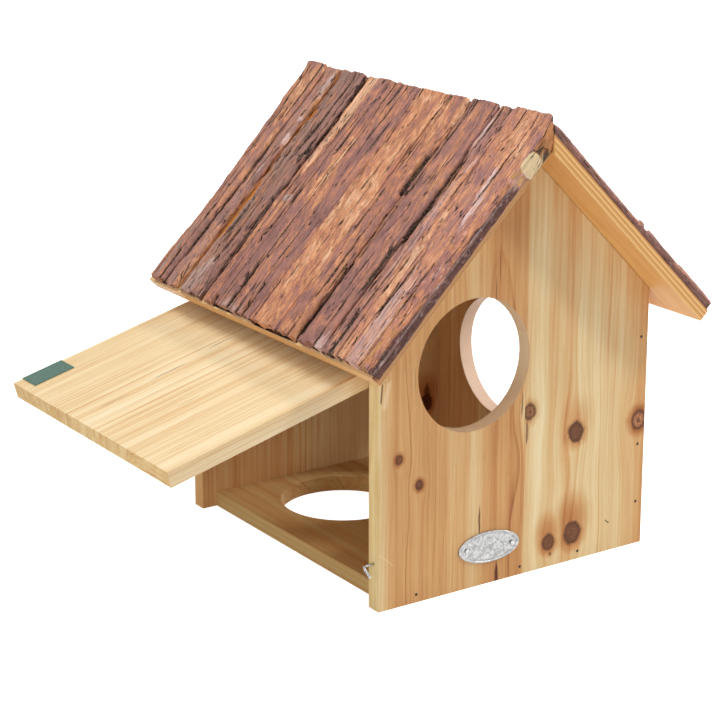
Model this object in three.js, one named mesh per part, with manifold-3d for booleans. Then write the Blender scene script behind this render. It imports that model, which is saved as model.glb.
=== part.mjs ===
// A squirrel feeder box: two gables, a floor, a back panel and a hinged flap
// under a plywood roof that is covered with slabs of bark.
// Lengths are in millimetres. X runs across the front gable, Y from the front
// gable to the rear one, and Z up from the ground under the middle of the box.

import * as THREE from "three";
import { mergeVertices } from "three/addons/utils/BufferGeometryUtils.js";
import Module from "manifold-3d";

const wasm = await Module();
wasm.setup();

// The box
const boxWidth = 235;
const boxDepth = 250;
const wallThickness = 12;
const eaveHeight = 194;
const roofAngle = THREE.MathUtils.degToRad(45);

// Clearances
const seatGap = 0.2;
const runningGap = 0.1;
const cutOverrun = 20;
const weldDistance = 0.0001;

// The roof boards and the bark on them
const roofBoardThickness = 9.3;
const frontOverhang = 33;
const rearOverhang = 16;
const eaveOverhang = 28;
const mitreGap = 0.3;
const barkThickness = 11;
const barkSideGap = 0.5;

// The lip of bark that curls down over the left board's front edge
const lipThickness = 2.4;
const lipDrop = 5.5;
const lipRoot = 2.5;
const lipBend = 1.2;

// The round entrances, with the places of their centres
const entranceDiameter = 95;
const frontEntranceX = -38;
const frontEntranceHeight = 163.5;
const backEntranceY = 36.6;
const backEntranceHeight = 104.5;
const floorEntranceX = -31.7;
const floorEntranceY = 46.9;

// The flap
const flapHeadGap = 4;
const flapFootGap = 1;
const flapSideGap = 0.6;
const flapFloorGap = 0.3;
const flapPivotDrop = 24;
const flapOpenAngle = THREE.MathUtils.degToRad(75.3);

// Nails: radius of head and shank, head thickness, tip and whole length
const pivotNail = { head: 1.9, shank: 1.4, headThickness: 1, tip: 2.5, length: 34 };
const brad = { head: 1.1, shank: 0.7, headThickness: 0.8, tip: 1.5, length: 30 };
const roofNail = { head: 2.4, shank: 1, headThickness: 1, tip: 2, length: 32 };
const plateNail = { head: 1.7, shank: 0.7, headThickness: 0.9, tip: 1.5, length: 9 };

// The oval plate on the front gable
const plateX = -23.8;
const plateHeight = 28;
const plateLength = 53;
const plateBreadth = 23;
const plateThickness = 0.9;
const plateRimWidth = 1.6;
const plateRimRise = 0.4;
const plateNailSpacing = 39.8;
const plateTilt = THREE.MathUtils.degToRad(2.9);

// The turn hook on the front gable's end face
const hookHeight = 34;
const hookWireRadius = 1;
const hookStandOff = 8.5;
const hookThreadLength = 14;
const hookBendRadius = 2;
const hookLegLength = 10;
const hookLegAngle = THREE.MathUtils.degToRad(58);

// The plain label on the flap
const labelWidth = 21;
const labelLength = 32.5;
const labelThickness = 0.4;
const labelSideInset = 0.5;
const labelTipInset = 7.5;

// Brads along the floor, as shares of half the width, and up the back panel,
// as shares of the eave height
const floorBradShares = [-0.73, 0.04, 0.49];
const backBradShares = [0.17, 0.4, 0.82];
const sideBradShares = [-0.7, 0.72];
const roofNailShares = [0.24, 0.72];

// Bark slabs from the front edge to the rear edge of each slope: where a slab
// starts and ends, as shares of the roof's depth, and its thickness as a share
// of the bark's
const leftSlabShares = [
  [0, 0.137, 1],
  [0.137, 0.197, 0.84],
  [0.197, 0.303, 0.86],
  [0.31, 0.39, 0.76],
  [0.39, 0.5, 0.74],
  [0.5, 0.595, 0.68],
  [0.595, 0.681, 0.69],
  [0.681, 0.731, 0.64],
  [0.74, 0.792, 0.72],
  [0.792, 0.843, 0.62],
  [0.857, 0.911, 0.56],
  [0.911, 1, 0.66],
];
const rightSlabShares = [
  [0, 0.092, 0.56],
  [0.092, 0.214, 0.62],
  [0.218, 0.31, 0.54],
  [0.31, 0.43, 0.6],
  [0.436, 0.515, 0.5],
  [0.515, 0.62, 0.58],
  [0.62, 0.73, 0.55],
  [0.735, 0.8, 0.64],
  [0.8, 0.905, 0.52],
  [0.91, 1, 0.58],
];
const slabCrownShare = 0.3;
const slabRippleShare = 0.09;
const slabSteps = 8;

// Counts of facets
const entranceSides = 56;
const nailSides = 8;
const plateSides = 40;
const wireSides = 8;
const hookSteps = 20;
const bendSteps = 5;

// Sizes that follow from the ones above
const halfWidth = boxWidth / 2;
const halfDepth = boxDepth / 2;
const insideHalfDepth = halfDepth - wallThickness;
const apexHeight = eaveHeight + halfWidth * Math.tan(roofAngle);
const gableSlopeLength = halfWidth / Math.cos(roofAngle);
const roofSlopeLength = gableSlopeLength + eaveOverhang;
const roofFrontY = -halfDepth - frontOverhang;
const roofRearY = halfDepth + rearOverhang;
const roofDepth = roofRearY - roofFrontY;
const barkBed = roofBoardThickness + 2 * seatGap;
const barkFrontY = roofFrontY + barkSideGap / 2;
const leftBoardFrontY = barkFrontY + lipThickness + seatGap;
const wallMiddle = wallThickness / 2;
const floorLowX = -halfWidth + wallThickness + flapFloorGap;
const floorHighX = halfWidth - wallThickness;
const flapLength = eaveHeight - flapHeadGap - flapFootGap;
const flapHalfWidth = insideHalfDepth - flapSideGap;
const flapPivotX = -halfWidth + wallMiddle;
const flapPivotHeight = eaveHeight - flapHeadGap - flapPivotDrop;

const plankMaterial = (colour) =>
  new THREE.MeshStandardMaterial({ color: colour, roughness: 0.62, metalness: 0 });

const barkMaterial = (colour) =>
  new THREE.MeshStandardMaterial({ color: colour, roughness: 0.85, metalness: 0 });

const zincMaterial = (colour) =>
  new THREE.MeshStandardMaterial({ color: colour, roughness: 0.38, metalness: 0.85 });

const labelMaterial = (colour) =>
  new THREE.MeshStandardMaterial({ color: colour, roughness: 0.5, metalness: 0 });

// A closed solid from a geometry, ready to be joined or cut.
function solidFrom(geometry) {
  const bare = geometry.index ? geometry.toNonIndexed() : geometry.clone();
  bare.deleteAttribute("normal");
  bare.deleteAttribute("uv");
  const welded = mergeVertices(bare, weldDistance);
  return new wasm.Manifold(
    new wasm.Mesh({
      numProp: 3,
      vertProperties: welded.attributes.position.array,
      triVerts: new Uint32Array(welded.index.array),
    }),
  );
}

function geometryFrom(solid) {
  const mesh = solid.getMesh();
  const indexed = new THREE.BufferGeometry();
  indexed.setAttribute("position", new THREE.BufferAttribute(mesh.vertProperties, 3));
  indexed.setIndex(new THREE.BufferAttribute(mesh.triVerts, 1));
  const flat = indexed.toNonIndexed();
  flat.computeVertexNormals();
  return flat;
}

function cutFrom(geometry, cutters) {
  const solid = cutters.reduce(
    (left, cutter) => left.subtract(solidFrom(cutter)),
    solidFrom(geometry),
  );
  return geometryFrom(solid);
}

function named(name, geometry, material) {
  const mesh = new THREE.Mesh(geometry, material);
  mesh.name = name;
  return mesh;
}

// A rectangular panel between two opposite corners.
function panel(low, high) {
  const size = new THREE.Vector3().subVectors(high, low);
  const middle = new THREE.Vector3().addVectors(low, high).multiplyScalar(0.5);
  const geometry = new THREE.BoxGeometry(size.x, size.y, size.z);
  geometry.translate(middle.x, middle.y, middle.z);
  return geometry;
}

// An outline of X and Z points, extruded along Y between two places.
function extrudedAlongY(points, lowY, highY) {
  const outline = new THREE.Shape(points.map(([x, z]) => new THREE.Vector2(x, -z)));
  const geometry = new THREE.ExtrudeGeometry(outline, {
    depth: highY - lowY,
    bevelEnabled: false,
  });
  geometry.rotateX(-Math.PI / 2);
  geometry.translate(0, lowY, 0);
  return geometry;
}

// The matrix that puts a thing's own origin at a place and its own +Z along a direction.
function aimed(place, direction) {
  const turn = new THREE.Quaternion().setFromUnitVectors(
    new THREE.Vector3(0, 0, 1),
    direction.clone().normalize(),
  );
  return new THREE.Matrix4().compose(place, turn, new THREE.Vector3(1, 1, 1));
}

// The round cutter of an entrance, through a wall at a place, along a direction.
function entranceCutter(place, direction) {
  const radius = entranceDiameter / 2;
  const length = wallThickness + 2 * cutOverrun;
  const geometry = new THREE.CylinderGeometry(radius, radius, length, entranceSides);
  geometry.rotateX(Math.PI / 2);
  geometry.applyMatrix4(aimed(place, direction));
  return geometry;
}

// A nail with its head at the origin and its shank down its own -Z.
function nailGeometry(nail) {
  const profile = [
    new THREE.Vector2(0, -nail.length),
    new THREE.Vector2(nail.shank, nail.tip - nail.length),
    new THREE.Vector2(nail.shank, -nail.headThickness),
    new THREE.Vector2(nail.head, -nail.headThickness),
    new THREE.Vector2(nail.head, 0),
    new THREE.Vector2(0, 0),
  ];
  const geometry = new THREE.LatheGeometry(profile, nailSides);
  geometry.rotateX(Math.PI / 2);
  return geometry;
}

// The hole that a nail needs, a gap wider all round and open above the head.
function nailCutter(nail, gap) {
  const corner = 1 / Math.cos(Math.PI / nailSides);
  const headRadius = (nail.head + gap) * corner;
  const shankRadius = (nail.shank + gap) * corner;
  const floorOfHead = -nail.headThickness - gap;
  const profile = [
    new THREE.Vector2(0, -nail.length - gap),
    new THREE.Vector2(shankRadius, -nail.length - gap),
    new THREE.Vector2(shankRadius, floorOfHead),
    new THREE.Vector2(headRadius, floorOfHead),
    new THREE.Vector2(headRadius, cutOverrun),
    new THREE.Vector2(0, cutOverrun),
  ];
  const geometry = new THREE.LatheGeometry(profile, nailSides);
  geometry.rotateX(Math.PI / 2);
  return geometry;
}

// A nail's place: the mesh goes there, and the cutter opens what it passes through.
function nailAt(name, nail, place, outward) {
  const matrix = aimed(place, outward);
  return { name, nail, matrix };
}

function nailMesh(entry, material) {
  return named(entry.name, nailGeometry(entry.nail).applyMatrix4(entry.matrix), material);
}

const cuttersOf = (entries, gap) =>
  entries.map((entry) => nailCutter(entry.nail, gap).applyMatrix4(entry.matrix));

// The frame of a slope: its own X runs across the roof, Y out of the roof
// board and Z down the slope from the ridge. Side is -1 on the left, 1 on the right.
function slopeFrame(side) {
  const across = new THREE.Vector3(0, side, 0);
  const down = new THREE.Vector3(side * Math.cos(roofAngle), 0, -Math.sin(roofAngle));
  const out = new THREE.Vector3(side * Math.sin(roofAngle), 0, Math.cos(roofAngle));
  return new THREE.Matrix4()
    .makeBasis(across, out, down)
    .setPosition(0, 0, apexHeight);
}

// Everything on one side of the mitre, to trim a piece at the ridge.
function mitreTrim(geometry, side) {
  const edge = mitreGap / 2;
  const reach = roofSlopeLength + cutOverrun;
  const low = new THREE.Vector3(edge, roofFrontY - cutOverrun, -cutOverrun);
  const high = new THREE.Vector3(reach, roofRearY + cutOverrun, apexHeight + reach);
  const keep = panel(low, high);
  if (side < 0) keep.rotateZ(Math.PI).translate(0, roofFrontY + roofRearY, 0);
  return geometryFrom(solidFrom(geometry).intersect(solidFrom(keep)));
}

const placesOfGables = [
  { label: "front", y: -halfDepth, outward: new THREE.Vector3(0, -1, 0) },
  { label: "rear", y: halfDepth, outward: new THREE.Vector3(0, 1, 0) },
];

// The brads and the pivot nail that go through one gable.
function gableBrads({ label, y, outward }) {
  const intoFloor = floorBradShares.map((share, index) => {
    const place = new THREE.Vector3(share * halfWidth, y, wallMiddle);
    return nailAt(`${label}_floor_brad_${index + 1}`, brad, place, outward);
  });
  const intoBack = backBradShares.map((share, index) => {
    const place = new THREE.Vector3(halfWidth - wallMiddle, y, share * eaveHeight);
    return nailAt(`${label}_back_brad_${index + 1}`, brad, place, outward);
  });
  return [...intoFloor, ...intoBack];
}

function pivotNailOf({ label, y, outward }) {
  const place = new THREE.Vector3(flapPivotX, y, flapPivotHeight);
  return nailAt(`${label}_pivot_nail`, pivotNail, place, outward);
}

// Brads through the back panel into the floor's edge.
const sideBrads = sideBradShares.map((share, index) => {
  const place = new THREE.Vector3(halfWidth, share * insideHalfDepth, wallMiddle);
  return nailAt(`back_floor_brad_${index + 1}`, brad, place, new THREE.Vector3(1, 0, 0));
});

// Nails through one roof board into both gables, with flush heads under the bark.
function roofNailsOf(side, label) {
  const frame = slopeFrame(side);
  const topOfBoard = seatGap + roofBoardThickness;
  const outward = new THREE.Vector3(0, 1, 0).transformDirection(frame);
  return placesOfGables.flatMap((gable) =>
    roofNailShares.map((share, index) => {
      const across = side * Math.sign(gable.y) * (halfDepth - wallMiddle);
      const place = new THREE.Vector3(across, topOfBoard, share * gableSlopeLength);
      place.applyMatrix4(frame);
      const name = `${label}_roof_nail_${gable.label}_${index + 1}`;
      return nailAt(name, roofNail, place, outward);
    }),
  );
}

const frontBrads = gableBrads(placesOfGables[0]);
const rearBrads = gableBrads(placesOfGables[1]);
const pivotNails = placesOfGables.map(pivotNailOf);
const leftRoofNails = roofNailsOf(-1, "left");
const rightRoofNails = roofNailsOf(1, "right");
const roofNails = [...leftRoofNails, ...rightRoofNails];

const plateFrame = new THREE.Matrix4()
  .makeTranslation(plateX, -halfDepth, plateHeight)
  .multiply(new THREE.Matrix4().makeRotationY(plateTilt))
  .multiply(new THREE.Matrix4().makeRotationX(Math.PI / 2));

const plateNails = [-1, 1].map((side) => {
  const top = seatGap + plateThickness + seatGap + plateNail.headThickness;
  const place = new THREE.Vector3((side * plateNailSpacing) / 2, 0, top);
  place.applyMatrix4(plateFrame);
  const label = side < 0 ? "left" : "right";
  return nailAt(`plate_nail_${label}`, plateNail, place, new THREE.Vector3(0, -1, 0));
});

function gable({ y }, cutters) {
  const outline = [
    [-halfWidth, 0],
    [halfWidth, 0],
    [halfWidth, eaveHeight],
    [0, apexHeight],
    [-halfWidth, eaveHeight],
  ];
  const inner = y - Math.sign(y) * wallThickness;
  const board = extrudedAlongY(outline, Math.min(y, inner), Math.max(y, inner));
  return cutFrom(board, cutters);
}

// The hole that the hook's shank turns in.
function hookCutter() {
  const corner = 1 / Math.cos(Math.PI / wireSides);
  const radius = (hookWireRadius + runningGap) * corner;
  const length = hookThreadLength + seatGap + cutOverrun;
  const geometry = new THREE.CylinderGeometry(radius, radius, length, wireSides);
  geometry.rotateZ(Math.PI / 2);
  geometry.translate(cutOverrun / -2 + (hookThreadLength + seatGap) / 2, 0, 0);
  geometry.translate(-halfWidth, -halfDepth + wallMiddle, hookHeight);
  return geometry;
}

function frontGable() {
  const place = new THREE.Vector3(frontEntranceX, -halfDepth, frontEntranceHeight);
  const cutters = [
    entranceCutter(place, new THREE.Vector3(0, 1, 0)),
    hookCutter(),
    ...cuttersOf([...frontBrads, pivotNails[0], ...roofNails, ...plateNails], runningGap),
  ];
  return named("front_gable", gable(placesOfGables[0], cutters), plankMaterial(0xd9a96c));
}

function rearGable() {
  const cutters = cuttersOf([...rearBrads, pivotNails[1], ...roofNails], runningGap);
  return named("rear_gable", gable(placesOfGables[1], cutters), plankMaterial(0xdcb47c));
}

function backPanel() {
  const low = new THREE.Vector3(halfWidth - wallThickness, -insideHalfDepth, 0);
  const high = new THREE.Vector3(halfWidth, insideHalfDepth, eaveHeight);
  const place = new THREE.Vector3(halfWidth, backEntranceY, backEntranceHeight);
  const cutters = [
    entranceCutter(place, new THREE.Vector3(1, 0, 0)),
    ...cuttersOf([...frontBrads, ...rearBrads, ...sideBrads], runningGap),
  ];
  return named("back_panel", cutFrom(panel(low, high), cutters), plankMaterial(0xdfb885));
}

function floorPanel() {
  const low = new THREE.Vector3(floorLowX, -insideHalfDepth, 0);
  const high = new THREE.Vector3(floorHighX, insideHalfDepth, wallThickness);
  const place = new THREE.Vector3(floorEntranceX, floorEntranceY, 0);
  const cutters = [
    entranceCutter(place, new THREE.Vector3(0, 0, 1)),
    ...cuttersOf([...frontBrads, ...rearBrads, ...sideBrads], runningGap),
  ];
  return named("floor_panel", cutFrom(panel(low, high), cutters), plankMaterial(0xe0bb86));
}

// The flap and its label, drawn hanging shut below the pivot and swung open.
function flap() {
  const group = new THREE.Group();
  const low = new THREE.Vector3(-wallMiddle, -flapHalfWidth, flapPivotDrop - flapLength);
  const high = new THREE.Vector3(wallMiddle, flapHalfWidth, flapPivotDrop);
  const toPivot = new THREE.Matrix4().makeTranslation(-flapPivotX, 0, -flapPivotHeight);
  const cutters = cuttersOf(pivotNails, runningGap).map((cutter) => cutter.applyMatrix4(toPivot));
  group.add(named("door_panel", cutFrom(panel(low, high), cutters), plankMaterial(0xe6c795)));
  group.add(label(low, high));
  group.position.set(flapPivotX, 0, flapPivotHeight);
  group.rotation.y = flapOpenAngle;
  return group;
}

function label(flapLow, flapHigh) {
  const face = flapLow.x - seatGap;
  const tip = flapLow.z + labelTipInset;
  const side = flapHigh.y - labelSideInset;
  const low = new THREE.Vector3(face - labelThickness, side - labelWidth, tip);
  const high = new THREE.Vector3(face, side, tip + labelLength);
  return named("door_label", panel(low, high), labelMaterial(0x2f5d50));
}

function roofBoard(side, label, nails, frontY) {
  const top = seatGap + roofBoardThickness;
  const low = new THREE.Vector3(side * frontY, seatGap, -cutOverrun);
  const high = new THREE.Vector3(side * roofRearY, top, roofSlopeLength);
  const board = panel(low.clone().min(high), low.clone().max(high));
  board.applyMatrix4(slopeFrame(side));
  const cut = cutFrom(mitreTrim(board, side), cuttersOf(nails, runningGap));
  return named(`${label}_roof_board`, cut, plankMaterial(0xd8a55a));
}

// A section that runs down the whole slope, trimmed at the ridge.
function downTheSlope(outline, side) {
  const geometry = new THREE.ExtrudeGeometry(outline, {
    depth: roofSlopeLength + cutOverrun,
    bevelEnabled: false,
  });
  geometry.translate(0, 0, -cutOverrun);
  geometry.applyMatrix4(slopeFrame(side));
  return mitreTrim(geometry, side);
}

// One slab of bark, with a ridged and crowned section.
function barkSlab(side, shares, phase) {
  const [start, end, thicknessShare] = shares;
  const low = roofFrontY + start * roofDepth + barkSideGap / 2;
  const high = roofFrontY + end * roofDepth - barkSideGap / 2;
  const thickness = thicknessShare * barkThickness;
  const outline = new THREE.Shape();
  outline.moveTo(Math.max(side * low, side * high), barkBed);
  for (let step = 0; step <= slabSteps; step += 1) {
    const share = step / slabSteps;
    const across = THREE.MathUtils.lerp(side * low, side * high, side > 0 ? 1 - share : share);
    const crown = 1 - slabCrownShare * (2 * share - 1) ** 4;
    const ripple = slabRippleShare * Math.sin(phase + 2 * Math.PI * share * 2);
    outline.lineTo(across, barkBed + thickness * Math.min(1, crown + ripple));
  }
  outline.lineTo(Math.min(side * low, side * high), barkBed);
  return downTheSlope(outline, side);
}

// The left slope's front slab, with the lip that hangs in front of its board's edge.
function withLip(slab) {
  const outer = -barkFrontY;
  const inner = outer - lipThickness;
  const foot = barkBed - lipDrop;
  const outline = new THREE.Shape();
  outline.moveTo(inner, foot);
  outline.lineTo(outer - lipBend, foot);
  outline.lineTo(outer, foot + lipBend);
  outline.lineTo(outer, barkBed + lipRoot);
  outline.lineTo(inner, barkBed + lipRoot);
  const lip = downTheSlope(outline, -1);
  return geometryFrom(solidFrom(slab).add(solidFrom(lip)));
}

const barkColours = [0xa8603c, 0x8a5238, 0x7d5347, 0xb56f3e];

function barkSlabs(side, label, table) {
  return table.map((shares, index) => {
    const colour = barkColours[index % barkColours.length];
    const slab = barkSlab(side, shares, index);
    const geometry = side < 0 && index === 0 ? withLip(slab) : slab;
    return named(`${label}_bark_${index + 1}`, geometry, barkMaterial(colour));
  });
}

// A thin oval plate with a raised rim and two nail holes.
function ovalPlate() {
  const oval = (inset, from, to) => {
    const shape = new THREE.Shape();
    shape.absellipse(0, 0, plateLength / 2 - inset, plateBreadth / 2 - inset, 0, 2 * Math.PI);
    const geometry = new THREE.ExtrudeGeometry(shape, {
      depth: to - from,
      bevelEnabled: false,
      curveSegments: plateSides,
    });
    return geometry.translate(0, 0, from);
  };
  const rimTop = seatGap + plateThickness + plateRimRise;
  const blank = oval(0, seatGap, rimTop).applyMatrix4(plateFrame);
  const field = oval(plateRimWidth, seatGap + plateThickness, rimTop + cutOverrun);
  const cutters = [field.applyMatrix4(plateFrame), ...cuttersOf(plateNails, runningGap)];
  return named("oval_plate", cutFrom(blank, cutters), zincMaterial(0xb9bcbc));
}

// A screw hook with a square bend, which turns in the gable's end face.
function turnHook() {
  const legDirection = new THREE.Vector3(0, -Math.sin(hookLegAngle), -Math.cos(hookLegAngle));
  const elbow = new THREE.Vector3(-hookStandOff, 0, 0);
  const beforeBend = elbow.clone().add(new THREE.Vector3(hookBendRadius, 0, 0));
  const afterBend = elbow.clone().addScaledVector(legDirection, hookBendRadius);
  const legEnd = elbow.clone().addScaledVector(legDirection, hookLegLength);
  const path = new THREE.CurvePath();
  path.add(new THREE.LineCurve3(new THREE.Vector3(hookThreadLength, 0, 0), beforeBend));
  path.add(new THREE.QuadraticBezierCurve3(beforeBend, elbow, afterBend));
  path.add(new THREE.LineCurve3(afterBend, legEnd));
  const section = new THREE.Shape();
  section.absarc(0, 0, hookWireRadius, 0, 2 * Math.PI);
  const geometry = new THREE.ExtrudeGeometry(section, {
    steps: hookSteps,
    curveSegments: wireSides,
    extrudePath: path,
  });
  const mesh = named("turn_hook", geometry, zincMaterial(0xc9cccd));
  mesh.position.set(-halfWidth, -halfDepth + wallMiddle, hookHeight);
  return mesh;
}

const feeder = new THREE.Group();
feeder.add(frontGable());
feeder.add(rearGable());
feeder.add(backPanel());
feeder.add(floorPanel());
feeder.add(flap());
feeder.add(roofBoard(-1, "left", leftRoofNails, leftBoardFrontY));
feeder.add(roofBoard(1, "right", rightRoofNails, roofFrontY));
feeder.add(...barkSlabs(-1, "left", leftSlabShares));
feeder.add(...barkSlabs(1, "right", rightSlabShares));
feeder.add(ovalPlate());
feeder.add(turnHook());
for (const entry of [...frontBrads, ...rearBrads, ...sideBrads, ...roofNails]) {
  feeder.add(nailMesh(entry, zincMaterial(0x8f8d88)));
}
for (const entry of [...pivotNails, ...plateNails]) {
  feeder.add(nailMesh(entry, zincMaterial(0xc4c6c6)));
}

export default feeder;
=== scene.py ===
"""The squirrel feeder box's looks: planed boards, plywood, slabs of bark and small metal parts."""

import math
from typing import NamedTuple

import bmesh
import bpy
import numpy as np
from mathutils import Matrix, Vector


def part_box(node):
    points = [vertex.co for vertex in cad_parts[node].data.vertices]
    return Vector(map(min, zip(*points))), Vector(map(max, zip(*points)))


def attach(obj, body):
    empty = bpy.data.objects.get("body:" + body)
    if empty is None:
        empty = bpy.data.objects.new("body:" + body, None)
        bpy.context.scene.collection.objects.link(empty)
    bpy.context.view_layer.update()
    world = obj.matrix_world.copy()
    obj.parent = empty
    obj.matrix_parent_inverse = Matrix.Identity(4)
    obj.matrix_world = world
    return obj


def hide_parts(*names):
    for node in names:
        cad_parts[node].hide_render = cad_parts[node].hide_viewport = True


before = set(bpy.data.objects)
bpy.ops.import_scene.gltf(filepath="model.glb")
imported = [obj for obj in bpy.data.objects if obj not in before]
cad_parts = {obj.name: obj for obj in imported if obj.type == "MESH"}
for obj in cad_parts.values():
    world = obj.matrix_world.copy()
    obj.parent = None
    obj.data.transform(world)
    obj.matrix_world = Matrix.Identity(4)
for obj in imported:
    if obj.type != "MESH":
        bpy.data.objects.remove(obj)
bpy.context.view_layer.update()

MM = 0.001

# The photograph's frame and the camera fitted to it
IMAGE_SIDE = 720
FOCAL_PIXELS = 2202.12
CENTRE_PIXEL = (318.12, 317.25)
SENSOR_MM = 36.0
CAMERA_PLACE = (-0.9092, -1.2698, 0.6113)
CAMERA_AZIMUTH = math.radians(-33.011)
CAMERA_ELEVATION = math.radians(16.063)
CAMERA_ROLL = math.radians(-0.296)

# What the frame says of the box, in metres
GABLE_LOW, GABLE_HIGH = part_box("front_gable")
REAR_LOW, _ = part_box("rear_gable")
PANEL_LOW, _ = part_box("back_panel")
FLAP_LOW, FLAP_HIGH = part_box("door_panel")
BOARD_LOW, BOARD_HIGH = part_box("right_roof_board")
ROOF_ANGLE = math.radians(45)
APEX = GABLE_HIGH.z
FLAP_OPEN = math.radians(75.3)

# On each slope, in mm: the board's thickness, the bark's bed, the mitre's place and the length
BOARD_RISE = (BOARD_HIGH.z - APEX) * math.cos(ROOF_ANGLE) / MM
BARK_BED = BOARD_RISE + 0.2
MITRE_START = BOARD_LOW.x / MM / math.cos(ROOF_ANGLE)
SLOPE_LENGTH = (APEX - BOARD_LOW.z) / math.sin(ROOF_ANGLE) / MM

# The directions of the boards and of the flap
EAST = Vector((1, 0, 0))
NORTH = Vector((0, 1, 0))
UP = Vector((0, 0, 1))
FLAP_OUT = Vector((-math.sin(FLAP_OPEN), 0, -math.cos(FLAP_OPEN)))
FLAP_FACE = Vector((-math.cos(FLAP_OPEN), 0, math.sin(FLAP_OPEN)))


# Colours are written as 0-255 sRGB values and turned into Blender's linear ones
def colour(red, green, blue):
    def linear(value):
        share = value / 255
        return share / 12.92 if share <= 0.04045 else ((share + 0.055) / 1.055) ** 2.4

    return (linear(red), linear(green), linear(blue), 1.0)


def new_node(tree, kind, inputs=None, **settings):
    made = tree.nodes.new(kind)
    for key, value in settings.items():
        setattr(made, key, value)
    for key, value in (inputs or {}).items():
        if isinstance(value, Value):
            tree.links.new(value.socket, made.inputs[key])
        else:
            made.inputs[key].default_value = value
    return made


class Value:
    """A number, place or colour that a node gives, for sums with others like it."""

    def __init__(self, socket):
        self.socket = socket

    def into(self, kind, output, inputs, **settings):
        made = new_node(self.socket.id_data, kind, inputs, **settings)
        return Value(made.outputs[output])

    def math(self, operation, *others, clamp=False):
        inputs = dict(enumerate([self, *others]))
        return self.into("ShaderNodeMath", 0, inputs, operation=operation, use_clamp=clamp)

    def __add__(self, other):
        return self.math("ADD", other)

    def __sub__(self, other):
        return self.math("SUBTRACT", other)

    def __rsub__(self, other):
        return self * -1.0 + other

    def __mul__(self, other):
        return self.math("MULTIPLY", other)

    def __truediv__(self, other):
        return self.math("DIVIDE", other)

    def __abs__(self):
        return self.math("ABSOLUTE")

    def larger(self, other):
        return self.math("MAXIMUM", other)

    def swing(self, reach):
        """A share around a half turned into a swing of plus or minus the reach, about."""
        return self.math("MULTIPLY_ADD", 2 * reach, -reach)

    def spread(self, low, high, to_low=0.0, to_high=1.0, kind="SMOOTHSTEP"):
        """The share of the way from low to high, eased at both ends, or another pair's values."""
        inputs = {
            "Value": self, "From Min": low, "From Max": high, "To Min": to_low, "To Max": to_high,
        }
        return self.into("ShaderNodeMapRange", "Result", inputs, interpolation_type=kind)

    def vector(self, operation, *others):
        inputs = dict(enumerate([self, *others]))
        output = "Value" if operation in ("LENGTH", "DOT_PRODUCT") else "Vector"
        return self.into("ShaderNodeVectorMath", output, inputs, operation=operation)

    def scaled(self, *factors):
        return self.vector("MULTIPLY", factors)

    def beyond(self, *point):
        return self.vector("SUBTRACT", point)

    def dot(self, direction):
        return self.vector("DOT_PRODUCT", tuple(direction))

    def length(self):
        return self.vector("LENGTH")

    def parts(self):
        outputs = new_node(self.socket.id_data, "ShaderNodeSeparateXYZ", {"Vector": self}).outputs
        return [Value(output) for output in outputs]

    def noise(self, scales=(1.0, 1.0, 1.0), detail=3.0, roughness=0.5, distortion=0.0, seed=0.0):
        """Noise drawn out along the grain: each scale is features for a unit of the place."""
        place = self.vector("MULTIPLY_ADD", scales, (seed, 0.0, 0.0))
        inputs = {
            "Vector": place, "Scale": 1.0, "Detail": detail, "Roughness": roughness,
            "Distortion": distortion,
        }
        return self.into("ShaderNodeTexNoise", "Fac", inputs)

    def ramp(self, stops):
        made = new_node(self.socket.id_data, "ShaderNodeValToRGB", {"Fac": self})
        elements = made.color_ramp.elements
        while len(elements) < len(stops):
            elements.new(0.5)
        for element, (place, value) in zip(elements, stops):
            element.position = place
            element.color = value if isinstance(value, tuple) else (value, value, value, 1.0)
        return Value(made.outputs["Color"])

    def toward(self, tone, share, blend="MIX"):
        """This colour, mixed with the tone by the share."""
        inputs = {"Factor": share, 6: self, 7: tone}
        return self.into("ShaderNodeMix", 2, inputs, data_type="RGBA", blend_type=blend)

    def shaded(self, shade):
        return self.toward(shade, 1.0, "MULTIPLY")

    def between(self, first, second):
        """The first colour where this share is 0, and the second where it is 1."""
        inputs = {"Factor": self, 6: first, 7: second}
        return self.into("ShaderNodeMix", 2, inputs, data_type="RGBA")


def joined(x, y=0.0, z=0.0):
    return x.into("ShaderNodeCombineXYZ", "Vector", {"X": x, "Y": y, "Z": z})


class Paint:
    """A new material: the places that its nodes start from and the shader that they end in."""

    def __init__(self, name):
        self.material = bpy.data.materials.new(name)
        self.material.use_nodes = True
        self.tree = self.material.node_tree
        self.tree.nodes.clear()

    def source(self, kind, output, inputs=None, **settings):
        return Value(new_node(self.tree, kind, inputs, **settings).outputs[output])

    def coordinate(self, output):
        return self.source("ShaderNodeTexCoord", output)

    def millimetres(self):
        return self.coordinate("Object").scaled(1 / MM, 1 / MM, 1 / MM)

    def board_place(self, turn, origin):
        """Millimetres across a board's face, through its thickness and along its grain."""
        moved = self.coordinate("Object").beyond(*origin)
        return joined(*[moved.dot(direction) * (1 / MM) for direction in turn.transposed()])

    def end_in(self, surface):
        new_node(self.tree, "ShaderNodeOutputMaterial", {"Surface": surface})
        return self.material

    def finish(self, base, roughness, height, bump, strength, **others):
        relief = {"Height": height, "Distance": bump, "Strength": strength}
        normal = height.into("ShaderNodeBump", "Normal", relief)
        inputs = {"Base Color": base, "Roughness": roughness, "Normal": normal}
        for key, value in others.items():
            inputs[key.replace("_", " ")] = value
        return self.end_in(self.source("ShaderNodeBsdfPrincipled", "BSDF", inputs))


def axes(across, through, along):
    """A matrix whose columns are a board's three directions."""
    return Matrix((across, through, along)).transposed()


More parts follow.
